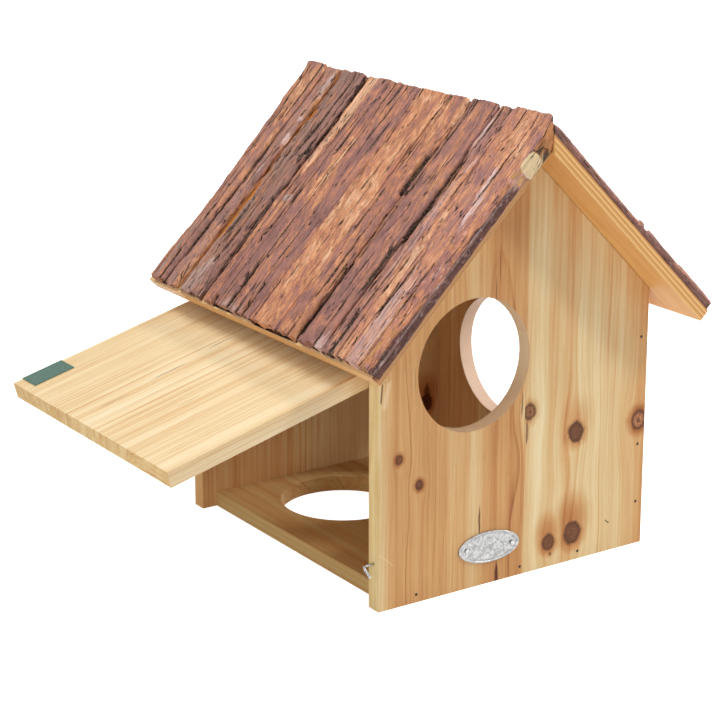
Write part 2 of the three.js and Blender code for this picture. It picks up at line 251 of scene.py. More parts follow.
class Knot(NamedTuple):
    """A knot's place in its board's face and its radius, in mm, and how its parts show.
    A half knot lies on one side of the glued seam."""

    across: float
    along: float
    radius: float
    dark: float = 1.0
    halo: float = 1.0
    heart: float = 0.0
    cone: float = 0.0
    side: int = 0


class Streak(NamedTuple):
    """A thin dark mark along the grain: a crack or a resin streak. Width is half its own."""

    across: float
    low: float
    high: float
    width: float
    dark: float = 0.8


class Scratch(NamedTuple):
    """A short straight mark at an angle in degrees to the grain, dark or pale."""

    across: float
    along: float
    angle: float
    half_length: float
    width: float
    share: float
    tone: tuple


# The wood's tones, from cream sapwood to the brown of late rings, by share
WOOD_TONES = [
    (0.0, colour(255, 238, 202)), (0.2, colour(247, 221, 175)), (0.35, colour(236, 204, 153)),
    (0.53, colour(226, 176, 120)), (0.76, colour(206, 146, 92)), (1.0, colour(160, 96, 56)),
]
# Late wood by share of a year's ring
RING_STOPS = [(0.0, 0.3), (0.16, 0.0), (0.5, 0.08), (0.78, 0.5), (0.93, 1.0), (1.0, 0.4)]
KNOT_HALO = colour(172, 100, 50)
KNOT_DARK = colour(66, 34, 24)
KNOT_BROWN = colour(124, 78, 52)
KNOT_HEART = colour(214, 150, 104)
CRACK = colour(84, 34, 26)
PALE_MARK = colour(250, 226, 188)
DARK_MARK = colour(84, 66, 40)
SPLIT_MARK = colour(104, 62, 40)
NO_SHADE = colour(255, 255, 255)
GABLE_SHADE = colour(246, 248, 246)
FLOOR_SHADE = colour(222, 219, 205)
END_SHADE = colour(242, 230, 210)
SIDE_SHADE = colour(255, 252, 236)
FLAP_END_SHADE = colour(244, 232, 204)
FLAP_SIDE_SHADE = colour(246, 245, 248)
# The entrances' walls: paler, partly their cut grain and partly painted light
WALL_TAN_PAINTED_LIGHT = colour(240, 216, 182)
WALL_PINK_PAINTED_LIGHT = colour(255, 232, 214)
WALL_SHARE = 0.7
# How far the grain bends round a knot, and how far apart two woods' noises lie
KNOT_BEND = 0.72
WOOD_SEED_STEP = 13.7


class Wood(NamedTuple):
    """How one board looks. Each strip glued beside the last has its edge, its shift of the rings
    across and in depth, and its shift of tone. Tones go by share of the width, across it, and
    along_tones by the place along the grain."""

    name: str
    turn: Matrix
    origin: Vector
    seed: int
    strips: list
    centre: tuple
    spacing: float
    tones: list
    width: tuple = (-120.0, 120.0)
    knots: list = []
    streaks: list = []
    scratches: list = []
    lines: float = 0.3
    bands: float = 0.2
    flecks: float = 0.25
    sway: float = 5.0
    rings: float = 0.4
    ends: float = 0.15
    shade: tuple = NO_SHADE
    end_shade: tuple = END_SHADE
    side_shade: tuple = SIDE_SHADE
    along_tones: list = []
    wall: tuple = None
    half_width: float = 0.0


def flow_round_knots(place, knots):
    """The place across the board once the grain bends round its knots."""
    across = place.parts()[0]
    total = across
    for knot in knots:
        offset = place.beyond(knot.across, 0.0, knot.along)
        far = offset.scaled(1 / (2.1 * knot.radius), 0.0, 1 / (3.6 * knot.radius)).length()
        fall = (far * far * -1.0).math("EXPONENT")
        total = total - (across - knot.across) * fall * KNOT_BEND
    return total


def knot_masks(place, knots, seam):
    """The knots' halo, core, dark lines and pale hearts, each as a share."""
    across = place.parts()[0]
    halo = core = lines = heart = across * 0.0
    grit = place.noise((0.5, 0.5, 0.4), 4.0, 0.7, 0.5)
    crack = abs(grit - 0.5).spread(0.05, 0.015)
    wobble = place.noise((0.16, 0.16, 0.16), 3.0, 0.6).swing(0.26) + grit.swing(0.16)
    for knot in knots:
        radius = knot.radius
        offset = place.beyond(knot.across, 0.0, knot.along)
        distance = offset.scaled(1 / radius, 0.0, 0.88 / radius).length() + wobble
        inside = ((across - seam) * knot.side).spread(-0.1, 0.3) if knot.side else 1.0
        halo = (distance.spread(2.0, 0.8) * knot.halo * inside).larger(halo)
        if knot.cone:
            above = offset.beyond(0.0, 0.0, 1.3 * radius)
            far = above.scaled(1 / (2.6 * radius), 0.0, 1 / (3.3 * radius)).length()
            halo = (far.spread(1.1, 0.0) * knot.cone * inside).larger(halo)
        core = (distance.spread(1.16, 0.78) * knot.dark * inside).larger(core)
        rim = abs(distance - 0.84).spread(0.36, 0.02)
        turns = (distance * 15.0).math("SINE").spread(0.2, 1.0, 0.0, 0.3)
        marks = rim.larger(turns).larger(crack) * distance.spread(1.2, 1.1)
        lines = (marks * inside).larger(lines)
        if knot.heart:
            pale = distance.spread(0.86, 0.55, 0.0, knot.heart) * distance.spread(0.16, 0.3)
            heart = (pale * inside).larger(heart)
    return halo, core, lines, heart


def streak_mask(place, streaks):
    across, _, along = place.parts()
    total = across * 0.0
    swayed = across + place.noise((0.0, 0.0, 0.07)).swing(1.3)
    for streak in streaks:
        half = (streak.high - streak.low) / 2
        ends = abs(along - (streak.low + half))
        room = ends.spread(half, half * 0.25, 0.02, streak.width)
        line = (abs(swayed - streak.across) * -1.6 / room).math("ADD", 1.6, clamp=True)
        total = (line * ends.math("LESS_THAN", half) * streak.dark).larger(total)
    return total


def scratch_mask(place, scratch):
    angle = math.radians(scratch.angle)
    offset = place.beyond(scratch.across, 0.0, scratch.along)
    length = abs(offset.dot((math.sin(angle), 0.0, math.cos(angle))))
    width = abs(offset.dot((math.cos(angle), 0.0, -math.sin(angle))))
    inside = length.spread(scratch.half_length, scratch.half_length * 0.6)
    return inside * width.spread(scratch.width, scratch.width * 0.4) * scratch.share


def board_strips(place, strips):
    """How far the glued strips shift the rings and the tone, and the fine seams between them."""
    shift = depth = tone = seam = 0.0
    across, _, along = place.parts()
    swayed = across + joined(along * 0.02).noise().swing(0.3)
    for edge, ring_shift, ring_depth, tone_shift in strips:
        past = across.math("GREATER_THAN", edge)
        shift = past * ring_shift + shift
        depth = past * ring_depth + depth
        tone = past * tone_shift + tone
        seam = abs(swayed - edge).spread(0.5, 0.08).larger(seam)
    return shift, depth, tone, seam


def growth_rings(place, flow, depth, wood, seed):
    """Late wood as a share: rings about an axis beside the board, which wanders along the grain."""
    through = place.parts()[1]
    wander = place.noise((0.012, 0.012, 0.0045), 2.0, seed=seed).swing(wood.sway)
    quiver = place.noise((0.09, 0.09, 0.01), seed=seed).swing(0.8)
    from_axis = joined(flow - wood.centre[0], through + depth - wood.centre[1])
    ring = (from_axis.length() + wander + quiver) / wood.spacing
    year = {"W": ring.math("FLOOR")}
    yearly = ring.into("ShaderNodeTexWhiteNoise", "Value", year, noise_dimensions="1D")
    return ring.math("FRACT").ramp(RING_STOPS) * yearly.spread(0.1, 1.0)


def wood_material(wood):
    paint = Paint(wood.name)
    place = paint.board_place(wood.turn, wood.origin)
    across, through, along = place.parts()
    seed = wood.seed * WOOD_SEED_STEP
    shift, depth, tone, seam = board_strips(place, wood.strips)
    flow = flow_round_knots(place, wood.knots)
    bent = joined(flow + shift, through, along)
    late = growth_rings(place, flow + shift, depth, wood, seed)

    # Broad bands, fine lines and fibres, all drawn out along the grain
    band = bent.noise((0.1, 0.1, 0.0022), 2.0, seed=seed)
    line = bent.noise((0.42, 0.42, 0.0045), 5.0, 0.68, seed=seed + 7.0)
    fibre = bent.noise((1.5, 1.5, 0.03), 4.0, 0.7, seed=seed)
    fleck = bent.noise((1.9, 1.9, 0.11), 2.0, seed=seed + 3.0)
    calm = bent.noise((0.045, 0.045, 0.004), 2.0, seed=seed + 9.0)
    fade = place.noise((0.03, 0.03, 0.012), 2.0, seed=seed + 5.0)
    halo, core, lines, heart = knot_masks(place, wood.knots, wood.strips[0][0])
    total = flow.spread(*wood.width, kind="LINEAR").ramp(wood.tones) + tone
    total = total + band.swing(wood.bands) + fade.swing(0.12)
    total = total + line.swing(wood.lines * 0.8) + fibre.swing(wood.lines * 0.5)
    total = total + late * calm.spread(0.38, 0.66, 0.06, wood.rings)
    total = total + seam * 0.14 + fleck.spread(0.66, 0.76) * wood.flecks + halo * 0.4
    for start, finish, amount in wood.along_tones:
        total = total + along.spread(start, finish, 0.0, amount)
    base = total.ramp(WOOD_TONES).shaded(wood.shade)

    # The board's ends show its rings and are duller, and so are its long sides
    normal = paint.coordinate("Normal")
    facing = [abs(normal.dot(axis)).spread(0.45, 0.9) for axis in wood.turn.transposed()]
    on_side, on_face, on_end = facing
    ring_tone = (late * wood.ends + total).ramp(WOOD_TONES).shaded(wood.shade)
    base = base.toward(ring_tone.shaded(wood.end_shade), on_end)
    base = base.toward(base.shaded(wood.side_shade), on_side)
    # Entrance walls are mixed towards a paler tone: partly the cut grain, partly painted light
    if wood.wall:
        off_edge = (wood.half_width - abs(across)).math("MINIMUM", along)
        base = base.toward(wood.wall, off_edge.spread(1.5, 2.5, 0.0, WALL_SHARE) - on_face)

    # Knots and marks
    base = base.toward(KNOT_HALO, halo * 0.36)
    knot_tone = heart.between(KNOT_BROWN, KNOT_HEART).toward(KNOT_DARK, lines * 0.8)
    base = base.toward(knot_tone, core)
    marks = streak_mask(place, wood.streaks)
    base = base.toward(CRACK, marks)
    for scratch in wood.scratches:
        base = base.toward(scratch.tone, scratch_mask(place, scratch) * on_face)
    height = late * 0.3 + fibre * 0.6 - marks - core * 0.3
    return paint.finish(base, fibre * 0.16 + 0.5, height, 0.12 * MM, 0.6, Specular_IOR_Level=0.22)


FRONT_KNOTS = [
    Knot(10.75, 120.8, 5.6, 0.92, 0.5, 0.4, side=1),
    Knot(-101, 107.5, 3.2, 0.85, 0.75),
    Knot(-84, 86, 3.3, 0.95, 0.9),
    Knot(53, 98, 7.2, 0.97, 0.7, cone=0.45),
    Knot(111.5, 96, 7, 0.85, 1, 0.9),
    Knot(30, 19, 6, 0.9, cone=0.85),
    Knot(52, 21.5, 8, 0.93, cone=1),
    Knot(32, 9.6, 1.3, 0.7, 0.5),
]
FRONT_STREAKS = [
    Streak(-32, 34, 62, 1.1, 0.85), Streak(-16.5, -12, 17, 2.2, 0.95),
    Streak(-20.5, 196, 226, 0.7, 0.6), Streak(-17.5, 215, 247, 0.6, 0.5),
    Streak(4, 116, 139, 0.9, 0.7), Streak(8.4, 95, 117, 1.6, 0.7),
    Streak(-88, 150, 172, 0.4, 0.4),
]
FRONT_SCRATCHES = [
    Scratch(84.5, 23, -50, 2.9, 0.7, 0.85, DARK_MARK),
    Scratch(-111, 37, -48, 10, 0.5, 0.35, PALE_MARK),
    Scratch(-111.2, 155, 12, 12, 2.6, 0.4, PALE_MARK),
    Scratch(-115.3, 157, 5, 8.5, 0.9, 0.9, SPLIT_MARK),
]
# Tone by place across the front gable, from the flap side to the back panel side
FRONT_TONES = [
    (0.0, 0.26), (0.025, 0.46), (0.06, 0.64), (0.12, 0.6), (0.2, 0.64), (0.24, 0.62), (0.262, 0.42),
    (0.3, 0.49), (0.34, 0.43), (0.36, 0.6), (0.42, 0.66), (0.46, 0.57), (0.5, 0.65), (0.524, 0.72),
    (0.53, 0.38), (0.58, 0.29), (0.62, 0.4), (0.66, 0.33), (0.7, 0.41), (0.74, 0.31), (0.8, 0.3),
    (0.84, 0.39), (0.9, 0.33), (0.95, 0.48), (1.0, 0.68),
]
# Half the width in which an entrance's wall has a paler tone of its own, partly its cut grain and
# partly painted light: to the gable's edges, and on the back panel past its ends
GABLE_HALF_WIDTH = GABLE_HIGH.x / MM
PANEL_HALF_WIDTH = 124.0

WOODS = {
    "front_gable": Wood(
        "front_gable_wood", axes(EAST, NORTH, UP), (0, GABLE_LOW.y, 0), 1,
        strips=[(6.3, -52, 8, 0)], centre=(-16, 34), spacing=3.3, tones=FRONT_TONES,
        width=(-GABLE_HALF_WIDTH, GABLE_HALF_WIDTH), lines=0.34, bands=0.22, rings=0.33, sway=9,
        knots=FRONT_KNOTS, streaks=FRONT_STREAKS, scratches=FRONT_SCRATCHES, shade=GABLE_SHADE,
        wall=WALL_TAN_PAINTED_LIGHT, half_width=GABLE_HALF_WIDTH,
    ),
    "rear_gable": Wood(
        "rear_gable_wood", axes(EAST, NORTH, UP), (0, REAR_LOW.y, 0), 2,
        strips=[(-28, 31, -6, -0.12)], centre=(50, 38), spacing=3.8,
        tones=[(0.0, 0.55), (0.5, 0.45), (1.0, 0.5)],
        knots=[Knot(-70, 150, 5), Knot(93.6, 46.9, 6.6, cone=0.9), Knot(-30, 232, 3.5, 0.8)],
        streaks=[Streak(94.5, 40, 66, 4.2)],
    ),
    "back_panel": Wood(
        "back_panel_wood", axes(NORTH, EAST, UP), (PANEL_LOW.x, 0, 0), 3,
        strips=[(-22, 47, 5, -0.08), (61, -38, 3, 0.12)], centre=(-60, 42), spacing=3.1,
        tones=[(0.0, 0.52), (0.5, 0.56), (1.0, 0.5)], lines=0.36, rings=0.22,
        knots=[Knot(-98, 58, 4.5), Knot(84, 178, 4.5, 0.9)],
        wall=WALL_PINK_PAINTED_LIGHT, half_width=PANEL_HALF_WIDTH,
    ),
    "floor_panel": Wood(
        "floor_panel_wood", axes(EAST, UP, NORTH), (0, 0, 0), 4,
        strips=[(-40, 25, 5, -0.06), (38, -60, -8, 0.1)], centre=(-70, -38), spacing=3.9,
        tones=[(0.0, 0.4), (0.5, 0.48), (1.0, 0.44)], lines=0.3, rings=0.24, shade=FLOOR_SHADE,
        knots=[Knot(-62, -62, 1.6, 0.8, 0.6), Knot(70, -40, 5)],
    ),
    "door_panel": Wood(
        "flap_wood", axes(NORTH, FLAP_FACE, FLAP_OUT), FLAP_LOW.lerp(FLAP_HIGH, 0.5), 5,
        strips=[(-62, 40, -70, 0.03), (-12, -55, -10, -0.06), (38, 61, 9, 0.06), (82, -35, -5, 0)],
        centre=(-96, -100), spacing=2.2, tones=[(0.0, 0.22), (0.3, 0.17), (0.5, 0.22), (1.0, 0.2)],
        lines=0.52, bands=0.26, flecks=0.2, rings=0.6, ends=0.3, end_shade=FLAP_END_SHADE,
        # along_tones here paints the flap darker and warmer towards the hinge: painted shade and
        # warm bounce under the eave
        side_shade=FLAP_SIDE_SHADE, along_tones=[(-30, -100, 0.32)],
        streaks=[Streak(18, -2, 34, 0.7, 0.75), Streak(24, -44, -18, 0.7, 0.7),
                 Streak(14, 50, 78, 0.6, 0.6), Streak(-36, 20, 44, 0.5, 0.4)],
    ),
}

PLY_GOLD = colour(222, 164, 94)
PLY_LIGHT = colour(246, 208, 148)
PLY_BROWN = colour(188, 124, 66)
PLY_AMBER = colour(150, 92, 46)
PLY_DARK = colour(74, 46, 30)
PLY_PALE = colour(232, 192, 140)
PLY_RESIN = colour(214, 132, 52)
# The layers on a plywood edge, from its underside to its top, plain and darker towards the top
PLY_LAYERS = [
    (0.0, PLY_GOLD), (0.1, PLY_LIGHT), (0.16, PLY_GOLD), (0.29, PLY_GOLD), (0.33, PLY_BROWN),
    (0.37, PLY_GOLD), (0.47, PLY_LIGHT), (0.53, PLY_GOLD), (0.62, PLY_GOLD), (0.66, PLY_BROWN),
    (0.7, PLY_GOLD), (0.8, PLY_LIGHT), (0.87, PLY_GOLD), (1.0, PLY_BROWN),
]
DARKER_LAYERS = [
    (0.0, colour(232, 188, 130)), (0.1, colour(190, 138, 84)), (0.28, colour(210, 158, 108)),
    (0.5, colour(178, 122, 80)), (0.76, colour(150, 96, 66)), (1.0, colour(104, 60, 44)),
]
# Where resin colours the top in the gap between two slabs, in Y, and where it pales at the eave
AMBER_GAP = 96.2
EAVE_BAND = (184.0, 189.0)
# The left and the right board's seed, and how pale their edges and how much darker towards the top
# their fronts are
PLYWOOD_LOOKS = [(3.0, 0.35, 1.0), (9.0, 0.0, 0.0)]


def plywood_material(slope, seed, pale, darkened):
    """Plywood: a golden underside, its layers on every edge and a dark top under the bark."""
    paint = Paint(slope.label + "_plywood")
    down = Vector((slope.side * math.cos(ROOF_ANGLE), 0, -math.sin(ROOF_ANGLE)))
    out = Vector((slope.side * math.sin(ROOF_ANGLE), 0, math.cos(ROOF_ANGLE)))
    place = paint.board_place(axes(NORTH, out, down), (0, 0, APEX))
    across, through, slope_place = place.parts()
    normal = paint.coordinate("Normal")
    grain = place.noise((0.35, 0.4, 0.02), 5.0, 0.6, 0.4, seed)
    grit = place.noise((1.4, 1.4, 1.4), 4.0, 0.7)
    stain = place.noise((0.4, 0.4, 0.06), 4.0, 0.65, seed=seed)
    wave = place.noise((0.05, 0.05, 0.05), 2.0).swing(0.4)
    face = grain.spread(0.25, 0.75, 0.0, 0.4).between(PLY_GOLD, PLY_LIGHT)
    face = face.toward(PLY_BROWN, grain.spread(0.42, 0.3, 0.0, 0.18))
    layer = (through + wave) / BOARD_RISE
    edge = layer.ramp(PLY_LAYERS).toward(PLY_BROWN, grit.spread(0.5, 0.8, 0.0, 0.45))
    darker_edge = layer.ramp(DARKER_LAYERS).toward(PLY_DARK, grit.spread(0.45, 0.8, 0.0, 0.5))
    on_front = normal.dot(-NORTH).spread(0.5, 0.8, 0.0, darkened)
    edge = edge.toward(PLY_PALE, pale).toward(darker_edge, on_front)
    # The top, seen only in the gaps between slabs, is dark, with amber in places and resin in one
    # gap
    top = stain.spread(0.35, 0.65).between(PLY_DARK, PLY_AMBER)
    top = top.toward(PLY_RESIN, abs(across - AMBER_GAP).spread(4.5, 3.5, 0.0, 0.8))
    top = top.toward(PLY_PALE, slope_place.spread(*EAVE_BAND))
    facing = normal.dot(out)
    base = edge.toward(face, facing.spread(-0.5, -0.8)).toward(top, facing.spread(0.5, 0.8))
    height = grain * 0.4 + grit * 0.3
    return paint.finish(base, 0.5, height, 0.15 * MM, 0.6, Specular_IOR_Level=0.25)


# Bark tones, from purple to orange and the tan of fresh chips, by share
BARK_TONES = [
    (0.0, colour(152, 104, 98)), (0.22, colour(174, 120, 108)), (0.4, colour(192, 130, 108)),
    (0.55, colour(210, 142, 106)), (0.75, colour(226, 160, 116)), (1.0, colour(248, 194, 156)),
]
STAIN_TONES = [(0.3, colour(46, 22, 20)), (0.5, colour(84, 46, 38)), (0.72, colour(128, 80, 64))]
TORN_TONES = [
    (0.1, colour(190, 112, 48)), (0.5, colour(206, 150, 92)), (0.95, colour(236, 208, 164)),
]
BARK_GREY = colour(166, 136, 120)
# The dark of cracks and of painted shade in hollows, the dust specks in them, a painted highlight
# on crests and a painted pink-white highlight on glossy streaks
BARK_DARK = colour(34, 20, 16)
BARK_DUST = colour(150, 118, 84)
BARK_CREST_HIGHLIGHT = colour(226, 172, 134)
BARK_HIGHLIGHT = colour(240, 206, 200)
# Noise on the bark: features for a millimetre across and down the slope, detail, roughness, swirl
BARK_NOISES = {
    "blotch": (0.075, 0.022, 3.0, 0.55, 0.6),
    "slant": (0.14, 0.06, 3.0, 0.52, 1.4),
    "streak": (0.85, 0.032, 5.0, 0.68, 0.0),
    "light": (0.4, 0.17, 4.0, 0.66, 0.0),
    "threads": (2.4, 0.15, 5.0, 0.75, 0.0),
    "specks": (1.3, 1.0, 5.0, 0.8, 0.0),
    "split": (0.2, 0.014, 3.0, 0.55, 0.3),
    "hairs": (0.5, 0.045, 3.0, 0.6, 0.6),
    "where": (0.11, 0.035, 2.0, 0.5, 0.0),
}
SLANTED_NOISES = ("slant", "hairs")
NOISE_SLANT = 0.3


def bark_noises(flow):
    """The noises of the table, each drawn out down the slope, some at a slant."""
    slanted = flow.vector("ADD", joined(flow.parts()[1] * NOISE_SLANT))
    noises = {}
    for name, (across, down, *character) in BARK_NOISES.items():
        place = slanted if name in SLANTED_NOISES else flow
        noises[name] = place.noise((across, down, 1.0), *character)
    return noises


def thin_lines(noise, width, places):
    """Long wandering lines where a noise passes its middle, kept to some places."""
    return abs(noise - 0.5).spread(width, width * 0.35) * places


def bark_material():
    """Bark: colours by layer and weathering, with fibres drawn out down the slope, painted shade in
    hollows and cracks, and painted highlights on crests and glossy streaks.
    """
    paint = Paint("bark")

    def attribute(name, output):
        return paint.source("ShaderNodeAttribute", output, attribute_name=name)

    warm, grey, torn = attribute("bark_tone", "Color").parts()
    gloss_and_highlight = attribute("bark_tone", "Alpha")
    # bark_form: how open each point lies (low in hollows and cracks, which paints shade there,
    # partly the cracks' own dark), how dark its stain is, and the painted highlight on its crests
    relief, stain, crest_highlight = attribute("bark_form", "Vector").parts()
    noises = bark_noises(attribute("bark_flow", "Vector"))
    threads, specks, streak = noises["threads"], noises["specks"], noises["streak"]
    blotch, slant, light = noises["blotch"], noises["slant"], noises["light"]

    warmth = warm + blotch.swing(0.55) + slant.swing(0.75) + streak.swing(0.06) + specks.swing(0.16)
    base = warmth.ramp(BARK_TONES)
    base = base.toward(BARK_GREY, grey * slant.spread(0.7, 0.35, 0.35, 1.0))
    base = base.shaded(light.swing(0.25) + threads.swing(0.07) + specks.swing(0.46) + 1.0)
    # Painted highlight: crests are mixed towards a paler tone, as if lit
    base = base.toward(BARK_CREST_HIGHLIGHT, crest_highlight * streak.spread(0.4, 0.62, 0.06, 0.3))
    base = base.toward((light + specks.swing(0.35)).ramp(STAIN_TONES), stain)
    base = base.toward((torn + threads.swing(0.5)).ramp(TORN_TONES), torn.spread(0.08, 0.4))
    # Painted highlight: glossy streaks are mixed towards a pale pink-white, and their roughness
    # drops
    shine_and_highlight = gloss_and_highlight.math("MULTIPLY", streak.spread(0.42, 0.56, 0.1, 1.0), clamp=True)
    base = base.toward(BARK_HIGHLIGHT, shine_and_highlight)
    hairs = thin_lines(noises["hairs"], 0.014, noises["where"].spread(0.46, 0.6))
    splits = thin_lines(noises["split"], 0.013, noises["where"].spread(0.58, 0.46))
    sparse = threads.spread(0.34, 0.2, 0.0, 0.1)
    for share in (hairs * 0.4, splits * 0.9, sparse, specks.spread(0.34, 0.22, 0.0, 0.7)):
        base = base.toward(BARK_DARK, share)
    # Hollows, cracks and pits turn dark with dust specks: partly their own dark, partly painted
    # shade
    depth = specks.spread(0.48, 0.62, 0.0, 0.8).between(BARK_DARK, BARK_DUST)
    base = base.toward(depth, relief.spread(0.72, 0.24, 0.0, 0.98))

    roughness = (shine_and_highlight + blotch * 0.3).spread(0.1, 1.0, 0.68, 0.3)
    height = threads * 0.12 + streak * 0.22 + specks * 0.9 - splits - hairs * 0.6
    return paint.finish(base, roughness, height, 0.45 * MM, 1.0, Specular_IOR_Level=0.35)


# Each bare metal's dark and light tones, how rough it is in them and the size of its spangle
METALS = {
    "bright_zinc": (colour(150, 152, 154), colour(196, 198, 198), 0.34, 0.22, 0.9),
    "brad_steel": (colour(60, 50, 44), colour(92, 80, 68), 0.6, 0.45, 1.2),
}
PLATE_DARK = colour(146, 147, 149)
PLATE_LIGHT = colour(186, 188, 188)
PLATE_SPOTS = colour(120, 123, 127)
PLATE_NAIL_SHADE = colour(90, 90, 90)
LABEL_DARK = colour(62, 98, 84)
LABEL_LIGHT = colour(80, 116, 100)
# The radii between which the painted shade ring round a plate's nail fades
NAIL_SHADE_RADII = (1.5 * MM, 2.3 * MM)


def metal_material(name, dark, light, low, high, grain):
    """Galvanised or bare metal with its spangle, dull in some places and bright in others."""
    paint = Paint(name)
    place = paint.millimetres()
    blotch = place.noise((grain, grain, grain), 4.0, 0.65)
    cells = place.into("ShaderNodeTexVoronoi", "Color", {"Vector": place, "Scale": 1.4 * grain})
    share = blotch.spread(0.3, 0.7, 0.0, 0.7) + cells.parts()[0] * 0.3
    base = share.between(dark, light)
    roughness = share.spread(0.0, 1.0, low, high)
    return paint.finish(base, roughness, blotch, 0.12 * MM, 0.5, Metallic=1.0)


def plate_material():
    """Dull mottled zinc with a ring of painted shade round each nail."""
    paint = Paint("plate_zinc")
    place = paint.millimetres()
    blotch = place.noise((0.34, 0.34, 0.34), 5.0, 0.6, 0.8)
    fine = place.noise((1.6, 1.6, 1.6), 3.0, 0.6)
    base = blotch.spread(0.35, 0.65).between(PLATE_DARK, PLATE_LIGHT)
    base = base.toward(PLATE_SPOTS, fine.spread(0.6, 0.75, 0.0, 0.4))
    for side in ("left", "right"):
        low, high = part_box(f"plate_nail_{side}")
        offset = paint.coordinate("Object").beyond(*((low + high) / 2))
        # A ring of painted shade round each nail's head
        ring = offset.scaled(1.0, 0.0, 1.0).length().spread(NAIL_SHADE_RADII[1], NAIL_SHADE_RADII[0], 0.0, 0.8)
        base = base.toward(PLATE_NAIL_SHADE, ring)
    roughness = blotch.spread(0.3, 0.7, 0.56, 0.42)
    return paint.finish(base, roughness, blotch, 0.3 * MM, 0.8, Metallic=0.85)


def label_material():
    paint = Paint("label_green")
    mottle = paint.millimetres().noise((0.6, 0.6, 0.6), 4.0, 0.6)
    base = mottle.spread(0.35, 0.65).between(LABEL_DARK, LABEL_LIGHT)
    return paint.finish(base, 0.38, mottle, 0.05 * MM, 0.3, Specular_IOR_Level=0.3)


def in_scene(name, data):
    item = bpy.data.objects.new(name, data)
    bpy.context.scene.collection.objects.link(item)
    return item


def mesh_object(name, mesh, material, node, body="box"):
    """A piece of the scene that is seen in the CAD node's place."""
    piece = in_scene(name, mesh)
    mesh.materials.clear()
    mesh.materials.append(material)
    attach(piece, body)
    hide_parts(node)
    return piece


SAME_POINT = 0.002 * MM
FLAT_ANGLE = math.radians(0.5)
SHARP_ANGLE = math.radians(25)
SMALL_EDGE = 3.0 * MM
BOARD_ARRIS = 0.5 * MM
PLY_ARRIS = 0.3 * MM


def eased_board(node, material, arris, body="box"):
    """A board with the CAD board's faces, its small holes and softened long edges."""
    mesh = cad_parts[node].data.copy()
    mesh.name = node + "_eased"
    shape = bmesh.new()
    shape.from_mesh(mesh)
    bmesh.ops.remove_doubles(shape, verts=shape.verts, dist=SAME_POINT)
    bmesh.ops.dissolve_limit(shape, angle_limit=FLAT_ANGLE, verts=shape.verts, edges=shape.edges)

    def eases(edge):
        sharp = len(edge.link_faces) == 2 and edge.calc_face_angle() > SHARP_ANGLE
        return sharp and edge.calc_length() > SMALL_EDGE

    bmesh.ops.bevel(
        shape, geom=[edge for edge in shape.edges if eases(edge)], offset=arris, segments=2,
        profile=0.5, affect="EDGES", clamp_overlap=True,
    )
    shape.to_mesh(mesh)
    shape.free()
    mesh.shade_smooth()
    piece = mesh_object(node + "_shown", mesh, material, node, body)
    piece.modifiers.new("weighted_normals", "WEIGHTED_NORMAL").weight = 100


class Field:
    """Smooth random values for the bark, the same in every run."""

    def __init__(self, seed, size=256):
        draws = np.random.default_rng(seed)
        self.size = size
        self.values = draws.random((size, size)) * 2 - 1

    def cell(self, x, y):
        row, column = [np.asarray(place).astype(int) % self.size for place in (x, y)]
        return self.values[row, column]

    def at(self, x, y):
        low_x, low_y = np.floor(x), np.floor(y)
        share_x, share_y = x - low_x, y - low_y
        share_x = share_x * share_x * (3 - 2 * share_x)
        share_y = share_y * share_y * (3 - 2 * share_y)

        def between_cells(y):
            return self.cell(low_x, y) * (1 - share_x) + self.cell(low_x + 1, y) * share_x

        return between_cells(low_y) * (1 - share_y) + between_cells(low_y + 1) * share_y

    def layered(self, x, y, octaves=3, gain=0.5):
        total = np.zeros(np.broadcast(x, y).shape)
        sum_of_weights = 0.0
        for octave in range(octaves):
            step, weight = 2.0**octave, gain**octave
            total = total + weight * self.at(x * step + 17.3 * octave, y * step + 5.1 * octave)
            sum_of_weights += weight
        return total / sum_of_weights


def stepped(value, low, high):
    share = np.clip((value - low) / (high - low), 0, 1)
    return share * share * (3 - 2 * share)


def blurred(values, reach):
    """A running mean along the first axis."""
    padded = np.pad(values, ((reach + 1, reach), (0, 0)), mode="edge")
    total = np.cumsum(padded, axis=0)
    return (total[2 * reach + 1:] - total[:-2 * reach - 1]) / (2 * reach + 1)


# On each slope a place is given in mm as its Y and its distance down from the ridge
class Slab(NamedTuple):
    """How one slab of bark looks: its warmth from ridge to eave, how grey, rugged and split,
    and how open the gaps beside it are."""

    warm: tuple
    grey: float
    rugged: float
    split: float
    gaps: tuple
    stain: float = 0.0
    gloss_and_highlight: float = 0.0


class Patch(NamedTuple):
    """A patch of another colour, height or gloss, where gloss also paints a pale highlight; slant
    is its drift in Y for each mm down.
    """

    across: float
    down: float
    half_width: float
    half_length: float
    slant: float = 0.0
    lift: float = 0.0
    warm: float = 0.0
    grey: float = 0.0
    torn: float = 0.0
    gloss_and_highlight: float = 0.0


LEFT_SLABS = [
    Slab((0.74, 0.76, 0.78), 0.0, 0.5, 0.4, (1.0, 0.3), gloss_and_highlight=0.1),
    Slab((0.54, 0.52, 0.44), 0.12, 0.9, 0.9, (0.3, 0.7), gloss_and_highlight=0.1),
    Slab((0.34, 0.3, 0.2), 0.15, 0.35, 0.35, (0.5, 1.0)),
    Slab((0.85, 0.6, 0.65), 0.1, 0.75, 0.75, (1.0, 0.1)),
    Slab((0.95, 1.0, 0.85), 0.0, 0.4, 0.3, (0.1, 0.25)),
    Slab((0.5, 0.42, 0.55), 0.15, 0.3, 0.4, (0.25, 0.05)),
    Slab((0.5, 0.5, 0.3), 0.15, 0.35, 0.5, (0.05, 0.3)),
    Slab((0.75, 0.7, 0.72), 0.15, 0.4, 0.45, (0.3, 1.0)),
    Slab((0.2, 0.2, 0.25), 0.45, 1.1, 1.15, (1.0, 0.5)),
    Slab((0.36, 0.42, 0.4), 0.75, 0.9, 1.05, (0.5, 1.0)),
    Slab((0.5, 0.42, 0.42), 0.4, 0.45, 0.5, (1.0, 0.6), gloss_and_highlight=0.1),
    Slab((0.62, 0.5, 0.45), 0.3, 0.8, 0.8, (0.6, 1.0)),
]
